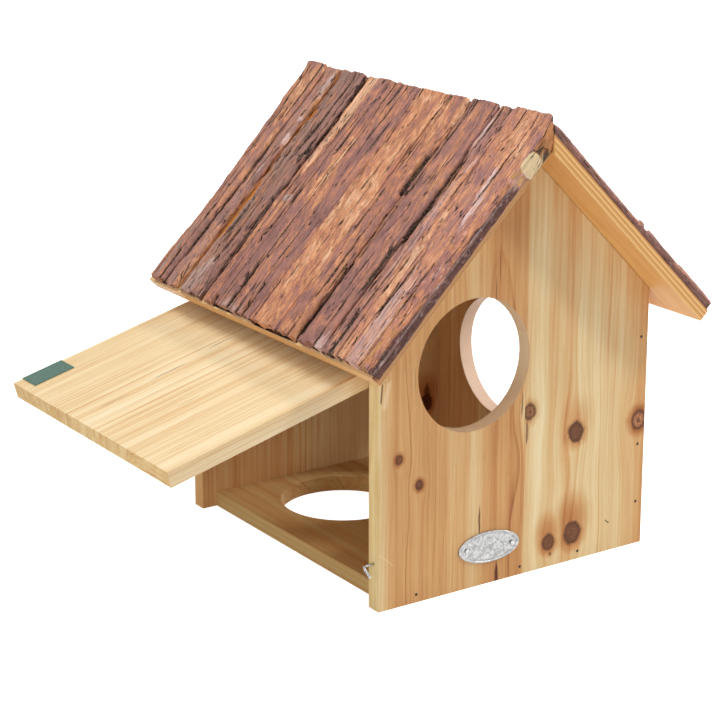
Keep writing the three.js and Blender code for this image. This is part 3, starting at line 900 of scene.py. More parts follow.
LEFT_PATCHES = [
    Patch(-145, 70, 2.9, 25, -0.14, gloss_and_highlight=1.2), Patch(-137, 172, 8, 46, gloss_and_highlight=0.45, grey=0.2),
    Patch(-151.5, 158, 6, 56, torn=0.42, warm=0.3), Patch(-124, 145, 4, 68, warm=0.55, lift=0.5),
    Patch(-140, 20, 16, 26, 0.2, warm=0.25), Patch(-101.5, 16, 2.2, 15, gloss_and_highlight=0.7, grey=0.4),
    Patch(-113.5, 49, 1.5, 9, 0.25, gloss_and_highlight=1.3), Patch(-110, 190, 2.8, 11, gloss_and_highlight=1, grey=0.4),
    Patch(-96.5, 193, 5.5, 10, gloss_and_highlight=0.85, grey=0.4), Patch(-112, 90, 5, 34, gloss_and_highlight=0.3),
    Patch(-86, 60, 12, 20, warm=0.42), Patch(-86, 18, 12, 16, warm=0.15),
    Patch(-67.5, 110, 3.5, 40, warm=0.45, torn=0.12), Patch(-28, 92, 14, 24, 0.1, warm=0.25),
    Patch(-46, 22, 8, 24, warm=0.25), Patch(-38, 160, 8, 30, warm=0.2),
    Patch(-2, 113, 13, 0.9, lift=-0.7, warm=-0.3), Patch(50, 22, 5.4, 28, warm=0.85, lift=0.9),
    Patch(51, 66, 2.6, 16, warm=0.8, lift=0.7),
    Patch(46.5, 105.5, 4.2, 3, gloss_and_highlight=0.3, grey=0.8, warm=-0.2, lift=0.5),
    Patch(6, 60, 6, 30, 0.2, warm=-0.3), Patch(18, 80, 6, 40, -0.15, warm=0.35),
    Patch(30, 40, 5, 30, -0.3, warm=-0.25), Patch(20, 194, 12, 8, gloss_and_highlight=0.35, grey=0.4),
    Patch(100.5, 12, 3.6, 11, gloss_and_highlight=0.5, grey=0.6), Patch(101.5, 44, 2, 3, gloss_and_highlight=0.8),
    Patch(101, 62, 2, 4, gloss_and_highlight=0.7), Patch(103, 90, 2.2, 5, gloss_and_highlight=0.5),
    Patch(79, 180, 9, 18, 0.1, grey=0.5, gloss_and_highlight=0.35, lift=0.5), Patch(125, 28, 9, 22, warm=0.35),
    Patch(128, 170, 5, 30, grey=0.6, gloss_and_highlight=0.25),
    Patch(95.4, 30, 4.6, 58, -0.02, lift=-2, torn=0.36, warm=0.9),
    Patch(94.2, 142, 5.6, 74, 0.03, lift=-2.2, torn=0.34, warm=0.9),
]
# A groove is a split down the slope: its Y, where it starts and ends, its width and its depth
LEFT_GROOVES = [
    (-99, -10, 40, 1, 2.4), (-101.6, 34, 112, 3.4, 5), (-101.8, 112, 215, 1, 3),
    (-119.3, 98, 170, 1.5, 3.5), (-119, 158, 205, 2.2, 4), (-130, 108, 166, 1.3, 2.6),
    (-109, 158, 200, 1.8, 3.4), (-146.8, 112, 214, 1.2, 3), (-96.5, 112, 140, 1.5, 3),
    (-89.8, 118, 215, 1.3, 2.6), (-71.8, -10, 215, 2, 4.5), (-68.6, 128, 215, 2.6, 6),
    (-63.4, 40, 78, 4.2, 7), (-57.5, 100, 215, 1.6, 3.5), (-43.5, -10, 66, 1.1, 2.2),
    (-24, 60, 84, 0.8, 1.5), (-10, -10, 84, 1, 2.4), (-11.6, 120, 200, 1.3, 2.8),
    (7.5, -10, 34, 0.9, 2), (3.5, 164, 205, 2.6, 4), (12, 168, 200, 1.6, 3),
    (25.2, 146, 212, 2.6, 4.5), (32, 22, 66, 1.4, 2.5), (40.4, 86, 152, 2.2, 4.5),
    (44, 186, 215, 4.5, 6), (59.5, -10, 118, 2, 6), (58, 116, 215, 1.6, 5), (66.5, 8, 84, 1.6, 4),
    (72, 110, 170, 2.4, 5), (76.5, 40, 120, 1.5, 3.5), (85, 10, 150, 1, 2.5),
    (102.5, 20, 44, 1.6, 3.5), (112.6, 56, 180, 2, 4.5), (123.8, 37, 52, 2.8, 5),
    (121, 90, 215, 1.4, 3), (131, 20, 90, 1.2, 3),
]
# A pit's Y, distance down and radius
LEFT_PITS = [
    (4.2, 117, 1.5), (2.8, 180, 1.6), (-107.3, 14, 1.5), (-143.5, 26, 0.9), (-131.3, 29, 1.6),
    (-26, 171, 1), (-94.8, 113, 1.5), (-89.5, 73, 1.9), (19, 43, 1.3), (-23, 115.5, 1),
    (-28.5, 120, 0.8), (-149.5, 98, 2.4), (37.5, 2.5, 1.6), (-140.8, 144, 1.2), (-130, 77, 1.6),
    (87, 20, 1.2), (-58.8, 150, 1.4), (63.5, 108, 1.8), (8, 109, 1.8),
]

RIGHT_SLABS = [
    Slab((0.35, 0.4, 0.3), 0.2, 0.6, 0.7, (0.7, 0.4), stain=0.3),
    Slab((0.6, 0.7, 0.5), 0.1, 0.5, 0.5, (0.4, 0.9)),
    Slab((0.25, 0.35, 0.3), 0.4, 1.0, 0.9, (0.9, 0.1)),
    Slab((0.9, 0.75, 0.85), 0.05, 0.4, 0.4, (0.1, 1.0)),
    Slab((0.3, 0.4, 0.25), 0.3, 0.8, 0.8, (1.0, 0.3)),
    Slab((0.5, 0.65, 0.6), 0.15, 0.45, 0.5, (0.3, 0.2)),
    Slab((0.3, 0.25, 0.35), 0.35, 0.7, 0.7, (0.2, 0.9)),
    Slab((0.75, 0.6, 0.7), 0.1, 0.6, 0.7, (0.9, 0.3)),
    Slab((0.5, 0.45, 0.4), 0.3, 0.5, 0.5, (0.3, 0.8), gloss_and_highlight=0.1),
    Slab((0.4, 0.5, 0.35), 0.45, 0.8, 0.8, (0.8, 1.0)),
]
RIGHT_PATCHES = [
    Patch(-157, 176, 9, 60, lift=1.8), Patch(-157, 90, 9, 130, lift=1.2),
    Patch(-110, 60, 8, 34, warm=0.3), Patch(-74, 130, 4, 40, gloss_and_highlight=0.5),
    Patch(-42, 70, 9, 30, 0.1, warm=0.35), Patch(-36, 150, 6, 30, warm=0.5, lift=0.5),
    Patch(14, 40, 6, 30, 0.1, warm=0.3), Patch(70, 110, 4, 36, warm=0.5, lift=0.6),
    Patch(100, 40, 5, 16, gloss_and_highlight=0.6), Patch(112, 150, 9, 26, grey=0.4, gloss_and_highlight=0.2),
]
RIGHT_GROOVES = [
    (-130.5, 10, 130, 1.6, 3), (-116, 60, 200, 1.2, 2.5), (-84, -10, 90, 2.2, 4),
    (-76, 80, 215, 1.8, 4), (-47, 60, 170, 1.2, 2.5), (-14, 20, 215, 2, 4), (9, -10, 80, 1.4, 3),
    (38, 90, 215, 2, 4), (66, 10, 140, 1.5, 3), (90, 60, 215, 1.2, 2.5), (121, -10, 120, 2, 4),
]
RIGHT_PITS = [(-98, 40, 1.4), (-20, 120, 1.6), (54, 70, 1.3), (106, 130, 1.5)]


class Slope(NamedTuple):
    """One side of the roof: which way it faces, how far its bark may rise over the slabs'
    thickness, and what its bark shows."""

    label: str
    side: int
    seed: int
    headroom: float
    slabs: list
    patches: list
    grooves: list
    pits: list

    def point(self, across, down, rise):
        """World coordinates in metres from Y, the distance down and the rise over the bed in mm."""
        out = BARK_BED + rise
        x = self.side * (down * math.cos(ROOF_ANGLE) + out * math.sin(ROOF_ANGLE)) * MM
        z = APEX + (out * math.cos(ROOF_ANGLE) - down * math.sin(ROOF_ANGLE)) * MM
        return np.stack([x, across * MM, z], axis=-1)


SLOPES = [
    Slope("left", -1, 0, 1.0, LEFT_SLABS, LEFT_PATCHES, LEFT_GROOVES, LEFT_PITS),
    Slope("right", 1, 500, 1.2, RIGHT_SLABS, RIGHT_PATCHES, RIGHT_GROOVES, RIGHT_PITS),
]
# The strips that bark splits into, at three sizes: width, length, rise and spread of tone
STRIP_SCALES = [(7.5, 90.0, 0.75, 0.18), (3.8, 46.0, 0.5, 0.14), (2.1, 22.0, 0.2, 0.05)]
CRACK_EDGE = 0.3
GROOVE_SPREAD = 1.3
PIT_DEPTH = 2.0
# The order of a point's four tones
WARM, GREY, TORN, GLOSS_AND_HIGHLIGHT = range(4)
WARM_RANGE = 1.6
# How far apart the seeds of two slabs lie, and their noises for each seed
SLAB_SEED_STEP = 11
BARK_SEED_STEP = 1.7


def strips(field, across, down, width, length):
    """Each point's strip: its level and tone, its edge's distance and how far that gapes, in mm."""
    place = across / width
    lane = np.floor(place)
    torn = 2.2 * field.at(across / 0.8, lane + 11) + 1.5 * field.at(across / 2.3, lane + 5)
    segment = np.floor((down + torn) / length + 9.7 * field.cell(lane, 3))
    level = field.cell(lane + 31, segment)
    tone = field.cell(lane + 67, segment + 40)
    near = np.round(place)
    edge = np.abs(place - near) * width
    gape = field.at(near * 7.31 + 3, down / 46) + 0.2 * field.at(near * 3.7, down / 8)
    return level, tone, edge, gape


def bark_form(slope, slab, seed, across, down, thickness):
    """The bark's rise over its bed in mm, how open it lies and its tones."""
    coarse, middle, fine = Field(seed), Field(seed + 1), Field(seed + 2)
    bend = 2.2 * coarse.layered(down / 50, across / 25, 2)
    bent = across + bend + 0.5 * fine.at(down / 9, across / 6)
    tones = np.zeros(across.shape + (4,))
    tones[..., WARM] = np.interp(down, [0, SLOPE_LENGTH / 2, SLOPE_LENGTH], slab.warm)
    tones[..., GREY] = slab.grey
    tones[..., GLOSS_AND_HIGHLIGHT] = slab.gloss_and_highlight
    height = 0.8 * thickness + 0.9 * slab.rugged * coarse.layered(bent / 13, down / 80, 2)
    crack = np.zeros(across.shape)
    for index, (width, length, rise, spread) in enumerate(STRIP_SCALES):
        level, tone, edge, gape = strips(middle, bent + 1.7 * index, down, width, length)
        height = height + rise * (0.35 + 0.75 * slab.rugged) * level
        tones[..., WARM] += spread * tone
        open_share = gape - (0.4 - 0.5 * slab.split) - 0.17 * index
        half = np.clip(open_share, 0, 1) * (1.35 - 0.4 * index)
        line = stepped(edge, half + CRACK_EDGE, half * 0.4) * stepped(open_share, 0.0, 0.12)
        crack = np.maximum(crack, line * (1.0 - 0.2 * index))
    height = height + (0.03 + 0.08 * slab.rugged) * fine.layered(bent / 0.75, down / 13, 2, 0.6)
    height = height + 0.12 * fine.layered(bent / 1.6, down / 2.6, 2)
    height = height - (0.8 + 1.8 * slab.rugged) * crack

    ragged = 0.35 * fine.layered(bent / 2.0, down / 7, 2) + 0.25 * fine.at(bent / 0.8, down / 20)
    for patch in slope.patches:
        past = down - patch.down
        aside = across - patch.across - patch.slant * past
        reach = np.hypot(aside / patch.half_width, past / patch.half_length) + ragged
        height = height + patch.lift * stepped(reach, 1.0, 0.96)
        patch_tones = np.array([patch.warm, patch.grey, patch.torn, patch.gloss_and_highlight])
        tones = tones + stepped(reach, 1.1, 0.8)[..., None] * patch_tones
    for place, low, high, width, depth in slope.grooves:
        sway = 1.3 * coarse.layered(down / 32, place / 9, 2) + 0.35 * fine.at(down / 5, place)
        half_length = (high - low) / 2
        ends = stepped(np.abs(down - (low + half_length)), half_length, half_length * 0.75)
        half = GROOVE_SPREAD * width * ends * (0.75 + 0.6 * coarse.layered(down / 9, place, 3))
        half = half + 0.25 * ends * fine.at(bent / 0.9, down / 14)
        line = stepped(np.abs(across - place - sway), half + 0.45, half * 0.6)
        line = line * np.clip(ends * 3, 0, 1)
        height = height - depth * line
        crack = np.maximum(crack, line)
    for place, low, radius in slope.pits:
        reach = np.hypot(across - place, (down - low) / 1.4) / radius
        hollow = stepped(reach + 0.3 * fine.layered(bent / 1.5, down / 2, 2), 1.1, 0.5)
        height = height - PIT_DEPTH * hollow
        crack = np.maximum(crack, hollow)
    return height, crack, tones


def grid_quads(index):
    corners = [index[:-1, :-1], index[1:, :-1], index[1:, 1:], index[:-1, 1:]]
    return np.stack(corners, axis=-1).reshape(-1, 4)


def bark_mesh(name, slope, grids, tones, form, faces, seed):
    """A closed mesh from a grid of places over a bed, with its colours at each point."""
    across, down, rise, flow = grids
    mesh = bpy.data.meshes.new(name)
    mesh.from_pydata(slope.point(across, down, rise).reshape(-1, 3).tolist(), [], faces)
    mesh.validate()
    tones[..., WARM] /= WARM_RANGE
    deep = seed * BARK_SEED_STEP
    attributes = [
        ("bark_tone", "FLOAT_COLOR", "color", np.clip(tones, 0, 1.5)),
        ("bark_form", "FLOAT_VECTOR", "vector", np.stack(form, axis=-1)),
        ("bark_flow", "FLOAT_VECTOR", "vector", np.stack([flow, down, 0 * down + deep], axis=-1)),
    ]
    for label, kind, field, values in attributes:
        attribute = mesh.attributes.new(label, kind, "POINT")
        attribute.data.foreach_set(field, values.astype(np.float32).reshape(-1))
    mesh.shade_smooth()
    return mesh


ACROSS_STEP = 0.5
ALONG_STEP = 1.0
STEP_SHARE = 1.0
COLUMNS = int(round(SLOPE_LENGTH / (ALONG_STEP * STEP_SHARE))) + 1
BLUR_REACH = int(round(3 / STEP_SHARE))
CAP_ROWS = 6
EDGE_RAG = 1.1
END_RAG = 2.4
EDGE_REACH = 5.0
FIRST_SLAB = "left_bark_1"
LAST_SLAB = "left_bark_12"
# How far the left slope's far edge of bark draws in, by the distance down, and how far that reaches
FAR_EDGE = [(0.0, 0.0), (74.0, 2.6), (105.0, 5.6), (136.0, 9.4), (165.0, 8.6), (200.0, 7.6)]
FAR_REACH = 14.0
LIP_COVER = 0.7


def with_caps(grid, start_rows, end_rows):
    return np.concatenate([start_rows, grid, end_rows], axis=1)


def held(grid):
    """The grid with its first and last values repeated over the rows that close its ends."""
    first, last = [np.repeat(row, CAP_ROWS, 1) for row in (grid[:, :1], grid[:, -1:])]
    return with_caps(grid, first, last)


def edge_rounding(name, rim, share, width, gap, down):
    """How much of its height the top keeps towards its long edges."""
    edge = np.minimum(share, 1 - share) * width
    rounding = 1 - (0.1 + 0.4 * gap) * stepped(edge, 0.6 + 2.4 * gap, -0.8)
    if name == FIRST_SLAB:
        nose_share = 0.5 + 0.1 * rim.layered(down / 21, 5, 3)
        nose = nose_share + (1 - nose_share) * stepped(share * width, -5.0, 7.5) ** 0.8
        rounding = np.where(share < 0.5, nose, rounding)
    return rounding


def edge_inset(name, rim, share, width, gap, places, rise_share, calm):
    """How far each point moves along Y where the long edges are ragged, in mm."""
    arc, down = places
    ragged = EDGE_RAG * (rim.layered(down / 24, share * 3 + 3, 3) + 0.3)
    ragged = (ragged + 0.5 * rim.layered(down / 5, arc / 3, 2)) * (0.15 + gap) * (0.2 + 0.8 * calm)
    if name == FIRST_SLAB:
        torn_edge = 1.3 * rim.layered(down / 11, 7 + share, 3) + 0.4
        ragged = ragged + np.where(share < 0.5, torn_edge + 3.0 * (1 - rise_share), 0)
    if name == LAST_SLAB:
        receding = np.interp(down, *np.array(FAR_EDGE).T) - 0.8
        ragged = ragged + np.where(share > 0.5, receding, 0)
    inward = np.where(share < 0.5, 1.0, -1.0) * np.clip(ragged + 0.5 * gap - 0.2, -0.25, 12)
    reach = FAR_REACH if name == LAST_SLAB else EDGE_REACH
    return inward * np.clip(1 - np.minimum(share, 1 - share) * width / reach, 0, 1)


def slab_mesh(name, slope, slab, seed):
    """A closed bark slab: a rough skin over a flat bed, with frayed ends."""
    low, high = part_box(name)
    thickness = (high.z - APEX) * math.cos(ROOF_ANGLE) / MM - BARK_BED
    start_y = low.y / MM + (LIP_COVER if name == FIRST_SLAB else 0)
    width = high.y / MM - start_y
    rows_over = int(round(width / (ACROSS_STEP * STEP_SHARE))) + 1
    rows_side = max(4, int(round(thickness / (ACROSS_STEP * STEP_SHARE))))

    # A section's points: up one side, over the top and down the other side
    up = np.linspace(0, 1, rows_side, endpoint=False)
    share = np.concatenate([0 * up, np.linspace(0, 1, rows_over), 0 * up + 1])[:, None]
    rise_share = np.concatenate([up, np.ones(rows_over), up[::-1]])[:, None]
    section = start_y + share * width + (2 * share - 1) * (1 - rise_share) * thickness
    arc, down = np.meshgrid(section[:, 0], np.linspace(0, SLOPE_LENGTH, COLUMNS), indexing="ij")
    height, crack, tones = bark_form(slope, slab, seed, arc, down, thickness)

    # The top is calm by the ridge and rounds off towards its long edges, ragged by an open gap
    rim = Field(seed + 3)
    gap = np.where(share < 0.5, slab.gaps[0], slab.gaps[1])
    calm = 1 - stepped(down, 9, 0)
    flat = 0.84 * thickness + 0.5 * rim.layered(arc / 8, 0, 2)
    height = height * calm + (flat - 0.4 * crack) * (1 - calm)
    rounding = edge_rounding(name, rim, share, width, gap, down)
    rounding = 1 - (1 - rounding) * (0.25 + 0.75 * calm)
    height = np.clip(height * rounding, 1.0, thickness * slope.headroom)
    inset = edge_inset(name, rim, share, width, gap, (arc, down), rise_share, calm)
    across = np.clip(start_y + share * width + inset, low.y / MM, high.y / MM + 0.25)
    # Painted shade: points below the blurred height and in cracks get a low share that darkens
    # them, partly the cracks' own dark; the sides get darker towards the bed
    proud = height - blurred(height, BLUR_REACH)
    relief = np.clip(0.93 + 0.5 * proud, 0.3, 1) * (1 - crack)
    # Painted highlight on the crests that stand above the blurred height
    crest_highlight = np.clip(0.9 * proud - 0.15, 0, 1) * (1 - crack)
    stain = np.clip(slab.stain + 0.55 * (1 - rise_share), 0, 0.9) + 0 * relief

    # The ridge end meets the mitre and the eave end is frayed, set back from the board's
    rise = height * rise_share
    fray = 0.7 + END_RAG * np.clip(rim.layered(arc / 3.2, 7, 3) + 0.45, 0, 1.4)
    start = MITRE_START - BARK_BED - rise + 0.4 * np.clip(rim.layered(arc / 7.0, 31, 2), 0, 1)
    down = start + (SLOPE_LENGTH - fray - start) * (down / SLOPE_LENGTH)

    # At both ends rows of points close the skin down to the bed
    fold = np.arange(1, CAP_ROWS + 1)[None, :] / CAP_ROWS
    first_rise = rise[:, :1] * (1 - fold[:, ::-1])
    last_rise = rise[:, -1:] * (1 - fold)
    rough = rim.layered(section / 1.9 + 3 * fold, 8 * fold, 2)
    last_down = down[:, -1:] - 0.5 - 0.9 * rough * np.sin(math.pi * fold) ** 0.5
    first_down = MITRE_START - BARK_BED - first_rise
    grids = (
        held(across),
        with_caps(down, first_down, np.minimum(last_down, SLOPE_LENGTH)),
        with_caps(rise, first_rise, last_rise),
        held(arc),
    )
    tones = held(tones)
    torn = np.clip(rim.layered(section / 3, last_rise / 2, 2) + 0.2, 0, 1)
    tones[:, -CAP_ROWS:, TORN] += 0.3 * torn

    # Quads over the grid, and its rim as one more face that closes it over the bed
    index = np.arange(grids[0].size).reshape(grids[0].shape)
    quads = grid_quads(index)
    sides = [index[0, :], index[1:, -1], index[-1, -2::-1], index[-2:0:-1, 0]]
    rim_face = np.concatenate(sides)[::-1]
    if slope.side > 0:
        quads, rim_face = quads[:, ::-1], rim_face[::-1]
    form = [held(relief), held(stain), held(crest_highlight)]
    faces = quads.tolist() + [rim_face.tolist()]
    return bark_mesh(name + "_skin", slope, grids, tones, form, faces, seed)


# The curl of bark over the front edge of the left roof board, from its foot
# up and over: Y from its outer face and rise over the bed, in mm
LIP_OUTLINE = [
    (2.3, -4.6), (1.9, -5.3), (1.1, -5.4), (0.5, -4.9), (0.1, -3.6), (0.0, -1.5), (0.0, 1.2),
    (0.15, 3.4), (0.7, 5.2), (1.9, 6.8), (3.8, 8.0), (6.2, 8.8), (9.0, 9.2),
]
# The two rows of points that close it on its inside
LIP_INSIDE = np.array([(9.0, 0.2), (2.4, 0.2)])
LIP_ROWS = 44
LIP_SEED = 977


def along_outline(outline, count):
    """Evenly spaced points on an outline given by a few, and the length to each."""
    corners = np.array(outline)
    lengths = np.concatenate([[0], np.cumsum(np.hypot(*np.diff(corners, axis=0).T))])
    places = np.linspace(0, lengths[-1], count)
    return [np.interp(places, lengths, column)[:, None] for column in corners.T], places[:, None]


def lip_shape(field, fine):
    """The lip's points, as Y, distance down, rise and length round its section, and its hole."""
    low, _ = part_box(FIRST_SLAB)
    (outer, rise), arc = along_outline(LIP_OUTLINE, LIP_ROWS)
    side, out = -np.gradient(rise, axis=0), np.gradient(outer, axis=0)
    turn = np.hypot(side, out)
    arc, down = np.meshgrid(arc[:, 0], np.linspace(0, SLOPE_LENGTH, COLUMNS), indexing="ij")
    start = MITRE_START - BARK_BED - rise
    place = start + (SLOPE_LENGTH - start) * down / SLOPE_LENGTH
    grit = fine.layered(arc / 1.1, down / 1.6, 3)
    inset = 0.35 + 0.3 * field.layered(down / 16, arc / 5, 3)
    inset = inset + 0.12 * fine.layered(arc / 0.8, down / 12, 2)
    inset = inset + stepped(place, 38, 30) * (0.4 + 0.7 * grit)
    hole = stepped(np.hypot((place - 4.5) / 4.4, (rise + 4.0) / 6.5) + 0.35 * grit, 1.1, 0.6)
    inset = np.clip(inset + 1.8 * hole, 0.05, 2.2)
    across = low.y / MM + outer - inset * side / turn
    height = rise - inset * out / turn
    ragged_foot = np.clip(0.6 + 1.0 * field.layered(down / 9, 0, 2), 0, 1.6)
    lower = stepped(place, 28.0, 21.0)
    height = height + stepped(arc, 6.0, 0.0) * (ragged_foot * (1 - lower) - 3.2 * lower)

    closing = ((0, len(LIP_INSIDE)), (0, 0))
    across = np.concatenate([across, np.repeat(low.y / MM + LIP_INSIDE[:, :1], COLUMNS, 1)])
    height = np.concatenate([height, np.repeat(LIP_INSIDE[:, 1:], COLUMNS, 1)])
    arc = np.pad(arc, closing, mode="edge")
    start = MITRE_START - BARK_BED - height
    fray = 1.2 + 1.4 * np.clip(field.layered(arc / 2.2, 3, 2) + 0.3, 0, 1)
    down = start + (SLOPE_LENGTH - fray - start) * np.linspace(0, 1, COLUMNS)[None, :]
    return (across, down, height, arc), np.pad(hole, closing)


def lip_looks(field, fine, down, height, arc, hole):
    """Its tones and form: torn fibres, a hole painted black, a pale torn patch ringed by a painted
    shadow, then dark smooth bark with a painted highlight line.
    """
    place = down + 3.0 * field.layered(arc / 3.0, down / 9, 2)
    fibres = stepped(place, 10.0, 6.0) * stepped(height, 6.5, 5.0)
    chip = np.hypot((down - 16.5) / 8.6, np.clip(height - 1.0, 0, None) / 7.6)
    chip = chip + 0.1 * fine.layered(arc / 2.4, down / 2.8, 2)
    pale = stepped(chip, 1.04, 0.94)
    shadowed = stepped(np.abs(chip - 1.1), 0.13, 0.04) * stepped(down, 23.0, 18.0)
    mixed = stepped(place, 22.0, 26.0) * stepped(place, 40.0, 33.0) * stepped(height, 7.5, 6.0)
    dark = stepped(place, 32.0, 39.0)
    flecks = stepped(fine.layered(arc / 1.6, down / 2.2, 3), 0.3, 0.5) * dark
    lower_edge = height - 1.6 * stepped(down, 110.0, 190.0)
    skin = stepped(lower_edge + 2.2 * field.layered(down / 13, 3, 3), 2.4, 4.4)
    patches = np.clip(field.layered(down / 6, arc / 2.5, 3) * 1.5 + 0.3, 0, 1)
    fringe = stepped(np.abs(height - 4.8), 2.6, 1.2) * dark
    shreds = fine.layered(arc / 0.9, down / 10, 2)
    frayed = fringe * np.clip(3 * shreds - 0.4, 0, 1)
    gaps = fringe * np.clip(-3 * shreds - 0.6, 0, 1)
    # Painted highlight: a pale line along the dark bark; it and the flecks go into the gloss share,
    # which mixes them towards a pale highlight
    painted_sheen = dark * stepped(np.abs(height - 2.0), 1.6, 0.4)
    torn = (0.27 * fibres + 0.6 * mixed * patches) * (1 - pale) + 1.05 * pale + 0.3 * frayed
    tones = [
        0.35 + 0.4 * fibres + 0.35 * mixed + 0.25 * skin - 0.1 * dark * (1 - skin),
        0.25 * mixed * patches,
        torn,
        0.5 * mixed * (1 - patches) + 0.3 * painted_sheen + 0.35 * flecks,
    ]
    # Painted shade: the hole is painted black, the line round the pale chip is a painted shadow and
    # the gaps among the frayed fibres are painted dark
    relief = np.clip(1 - hole - 0.8 * gaps - 0.8 * shadowed, 0, 1)
    stain = (0.97 * dark + 0.3 * mixed * (1 - patches)) * (1 - skin) + 0.45 * fibres * patches
    return np.stack(tones, axis=-1), [relief, stain * (1 - pale), 0 * relief]


def lip_mesh(slope):
    """The curled front of the first slab: rough and torn near the ridge, smooth and dark below."""
    field, fine = Field(LIP_SEED), Field(LIP_SEED + 1)
    grids, hole = lip_shape(field, fine)
    tones, form = lip_looks(field, fine, *grids[1:], hole)
    index = np.arange(grids[0].size).reshape(grids[0].shape)
    round_section = grid_quads(np.concatenate([index, index[:1]])).tolist()
    faces = round_section + [index[::-1, 0].tolist(), index[:, -1].tolist()]
    return bark_mesh("bark_lip", slope, grids, tones, form, faces, LIP_SEED)


def add_bark(material):
    for slope in SLOPES:
        for number, slab in enumerate(slope.slabs, start=1):
            name = f"{slope.label}_bark_{number}"
            mesh = slab_mesh(name, slope, slab, number * SLAB_SEED_STEP + slope.seed)
            mesh_object(name + "_shown", mesh, material, name)
    mesh_object("bark_lip_shown", lip_mesh(SLOPES[0]), material, FIRST_SLAB)


# The oval plate's section from its centre to its rim: share of the radius and of the thickness
PLATE_TILT = math.radians(-2.9)
PLATE_PROFILE = [
    (0.0, 0.78), (0.4, 0.75), (0.78, 0.68), (0.845, 0.64), (0.865, 0.5), (0.885, 0.5),
    (0.905, 0.66), (0.93, 0.9), (0.955, 1.0), (0.98, 0.96), (0.995, 0.78), (1.0, 0.5), (1.0, 0.0),
]
PLATE_TURNS = 96


def plate_mesh():
    """The stamped oval plate: a slight dome, an inner line and a rolled rim."""
    low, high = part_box("oval_plate")
    middle = (low + high) / 2
    wide, tall = (high.x - low.x) / 2, (high.z - low.z) / 2
    cos_tilt, sin_tilt = math.cos(PLATE_TILT), math.sin(PLATE_TILT)
    scale = cos_tilt**4 - sin_tilt**4
    length = math.sqrt((wide**2 * cos_tilt**2 - tall**2 * sin_tilt**2) / scale)
    breadth = math.sqrt((tall**2 * cos_tilt**2 - wide**2 * sin_tilt**2) / scale)
    shape = bmesh.new()

    def point(share, rise, turn):
        angle = 2 * math.pi * turn / PLATE_TURNS
        along, over = share * length * math.cos(angle), share * breadth * math.sin(angle)
        x = middle.x + along * cos_tilt - over * sin_tilt
        z = middle.z + along * sin_tilt + over * cos_tilt
        return shape.verts.new((x, high.y - rise * (high.y - low.y), z))

    rings = [[point(*stop, turn) for turn in range(PLATE_TURNS)] for stop in PLATE_PROFILE[1:]]
    centre = point(*PLATE_PROFILE[0], 0)
    for turn in range(PLATE_TURNS):
        after = (turn + 1) % PLATE_TURNS
        shape.faces.new((centre, rings[0][turn], rings[0][after]))
        for inner, outer in zip(rings, rings[1:]):
            shape.faces.new((inner[turn], outer[turn], outer[after], inner[after]))
    shape.faces.new(rings[-1][::-1])
    bmesh.ops.recalc_face_normals(shape, faces=shape.faces)
    mesh = bpy.data.meshes.new("oval_plate_stamped")
    shape.to_mesh(mesh)
    shape.free()
    mesh.shade_smooth()
    return mesh


def camera():
    data = bpy.data.cameras.new("photo_camera")
    item = in_scene("photo_camera", data)
    azimuth = Matrix.Rotation(CAMERA_AZIMUTH, 4, "Z")
    elevation = Matrix.Rotation(math.radians(90) - CAMERA_ELEVATION, 4, "X")
    roll = Matrix.Rotation(CAMERA_ROLL, 4, "Z")
    item.matrix_world = Matrix.Translation(CAMERA_PLACE) @ azimuth @ elevation @ roll
    data.sensor_width = SENSOR_MM
    data.lens = FOCAL_PIXELS * SENSOR_MM / IMAGE_SIDE
    data.shift_x = (IMAGE_SIDE / 2 - CENTRE_PIXEL[0]) / IMAGE_SIDE
    data.shift_y = -(IMAGE_SIDE / 2 - CENTRE_PIXEL[1]) / IMAGE_SIDE
    data.clip_end = 50
    bpy.context.scene.camera = item


LIT_POINT = Vector((0, 0, 0.15))
# Each light's place, its width in metres and how brightly it lights a white surface that faces it
LIGHTS = {
    "key_light": ((1.28, -1.38, 1.97), 0.38, 0.29),
    "top_light": ((-0.35, -0.2, 2.1), 1.0, 0.46),
    "left_light": ((-2.1, -0.9, 0.9), 1.4, 0.22),
    "side_light": ((1.9, -0.24, 1.09), 0.3, 0.52),
}
WORLD_LIGHT = 0.33
FLOOR_REACH = 12.0
FLOOR_LIFT = 0.92


def area_light(name, place, size, level):
    data = bpy.data.lights.new(name, "AREA")
    data.shape = "DISK"
    data.size = size
    away = Vector(place) - LIT_POINT
    data.energy = level * math.pi**2 * away.length_squared
    item = in_scene(name, data)
    item.location = place
    item.rotation_euler = away.to_track_quat("Z", "Y").to_euler()


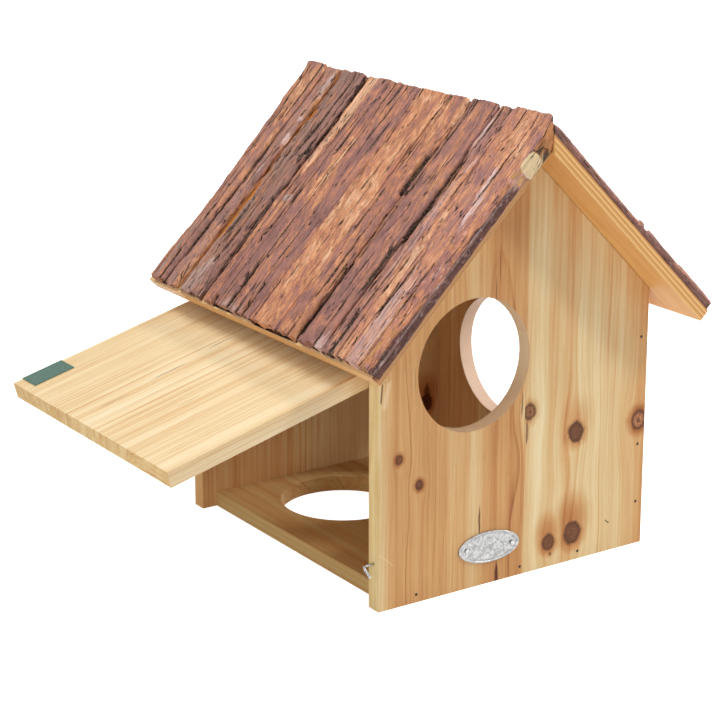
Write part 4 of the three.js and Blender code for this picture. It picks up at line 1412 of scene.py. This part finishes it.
def studio():
    """Soft lights, and a world that the camera sees white but that lights the object less."""
    for name, choices in LIGHTS.items():
        area_light(name, *choices)
    world = bpy.data.worlds.new("studio")
    bpy.context.scene.world = world
    world.use_nodes = True
    tree = world.node_tree
    tree.nodes.clear()
    diffuse_ray = Value(new_node(tree, "ShaderNodeLightPath").outputs["Is Diffuse Ray"])
    strength = diffuse_ray.spread(0.0, 1.0, 1.0, WORLD_LIGHT, kind="LINEAR")
    inputs = {"Color": (1, 1, 1, 1), "Strength": strength}
    background = strength.into("ShaderNodeBackground", "Background", inputs)
    new_node(tree, "ShaderNodeOutputWorld", {"Surface": background})
    bpy.context.scene.view_settings.view_transform = "Standard"


def studio_floor():
    """A pale floor that looks white to the camera and still takes the object's shadow."""
    mesh = bpy.data.meshes.new("studio_floor")
    signs = [(-1, -1), (1, -1), (1, 1), (-1, 1)]
    mesh.from_pydata([(x * FLOOR_REACH, y * FLOOR_REACH, 0) for x, y in signs], [], [(0, 1, 2, 3)])
    paint = Paint("studio_floor")
    rays = ("Is Camera Ray", "Is Transmission Ray", "Is Glossy Ray")
    camera_ray, glass_ray, mirror_ray = [paint.source("ShaderNodeLightPath", ray) for ray in rays]
    seen = camera_ray.larger(glass_ray).larger(mirror_ray)
    diffuse = paint.source("ShaderNodeBsdfDiffuse", 0, {"Color": (0.8, 0.8, 0.8, 1)})
    inputs = {"Color": (1, 1, 1, 1), "Strength": seen * FLOOR_LIFT}
    glow = paint.source("ShaderNodeEmission", 0, inputs)
    both = paint.source("ShaderNodeAddShader", 0, {0: diffuse, 1: glow})
    mesh.materials.append(paint.end_in(both))
    in_scene("studio_floor", mesh)


def add_boards():
    woods = {node: wood_material(wood) for node, wood in WOODS.items()}
    for node, material in woods.items():
        body = "flap" if node == "door_panel" else "box"
        eased_board(node, material, BOARD_ARRIS, body)
    for slope, looks in zip(SLOPES, PLYWOOD_LOOKS):
        plywood = plywood_material(slope, *looks)
        eased_board(slope.label + "_roof_board", plywood, PLY_ARRIS)
    return woods


def dress(node, material):
    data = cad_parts[node].data
    data.materials.clear()
    data.materials.append(material)


def dress_metal(woods):
    bright, steel = [metal_material(name, *looks) for name, looks in METALS.items()]
    mesh_object("oval_plate_shown", plate_mesh(), plate_material(), "oval_plate")
    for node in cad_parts:
        if "brad" in node or "roof_nail" in node:
            dress(node, steel)
        elif "pivot_nail" in node:
            dress(node, woods["front_gable" if node.startswith("front") else "rear_gable"])
        elif "plate_nail" in node or node == "turn_hook":
            dress(node, bright)
    dress("door_label", label_material())


camera()
studio()
studio_floor()
dress_metal(add_boards())
add_bark(bark_material())
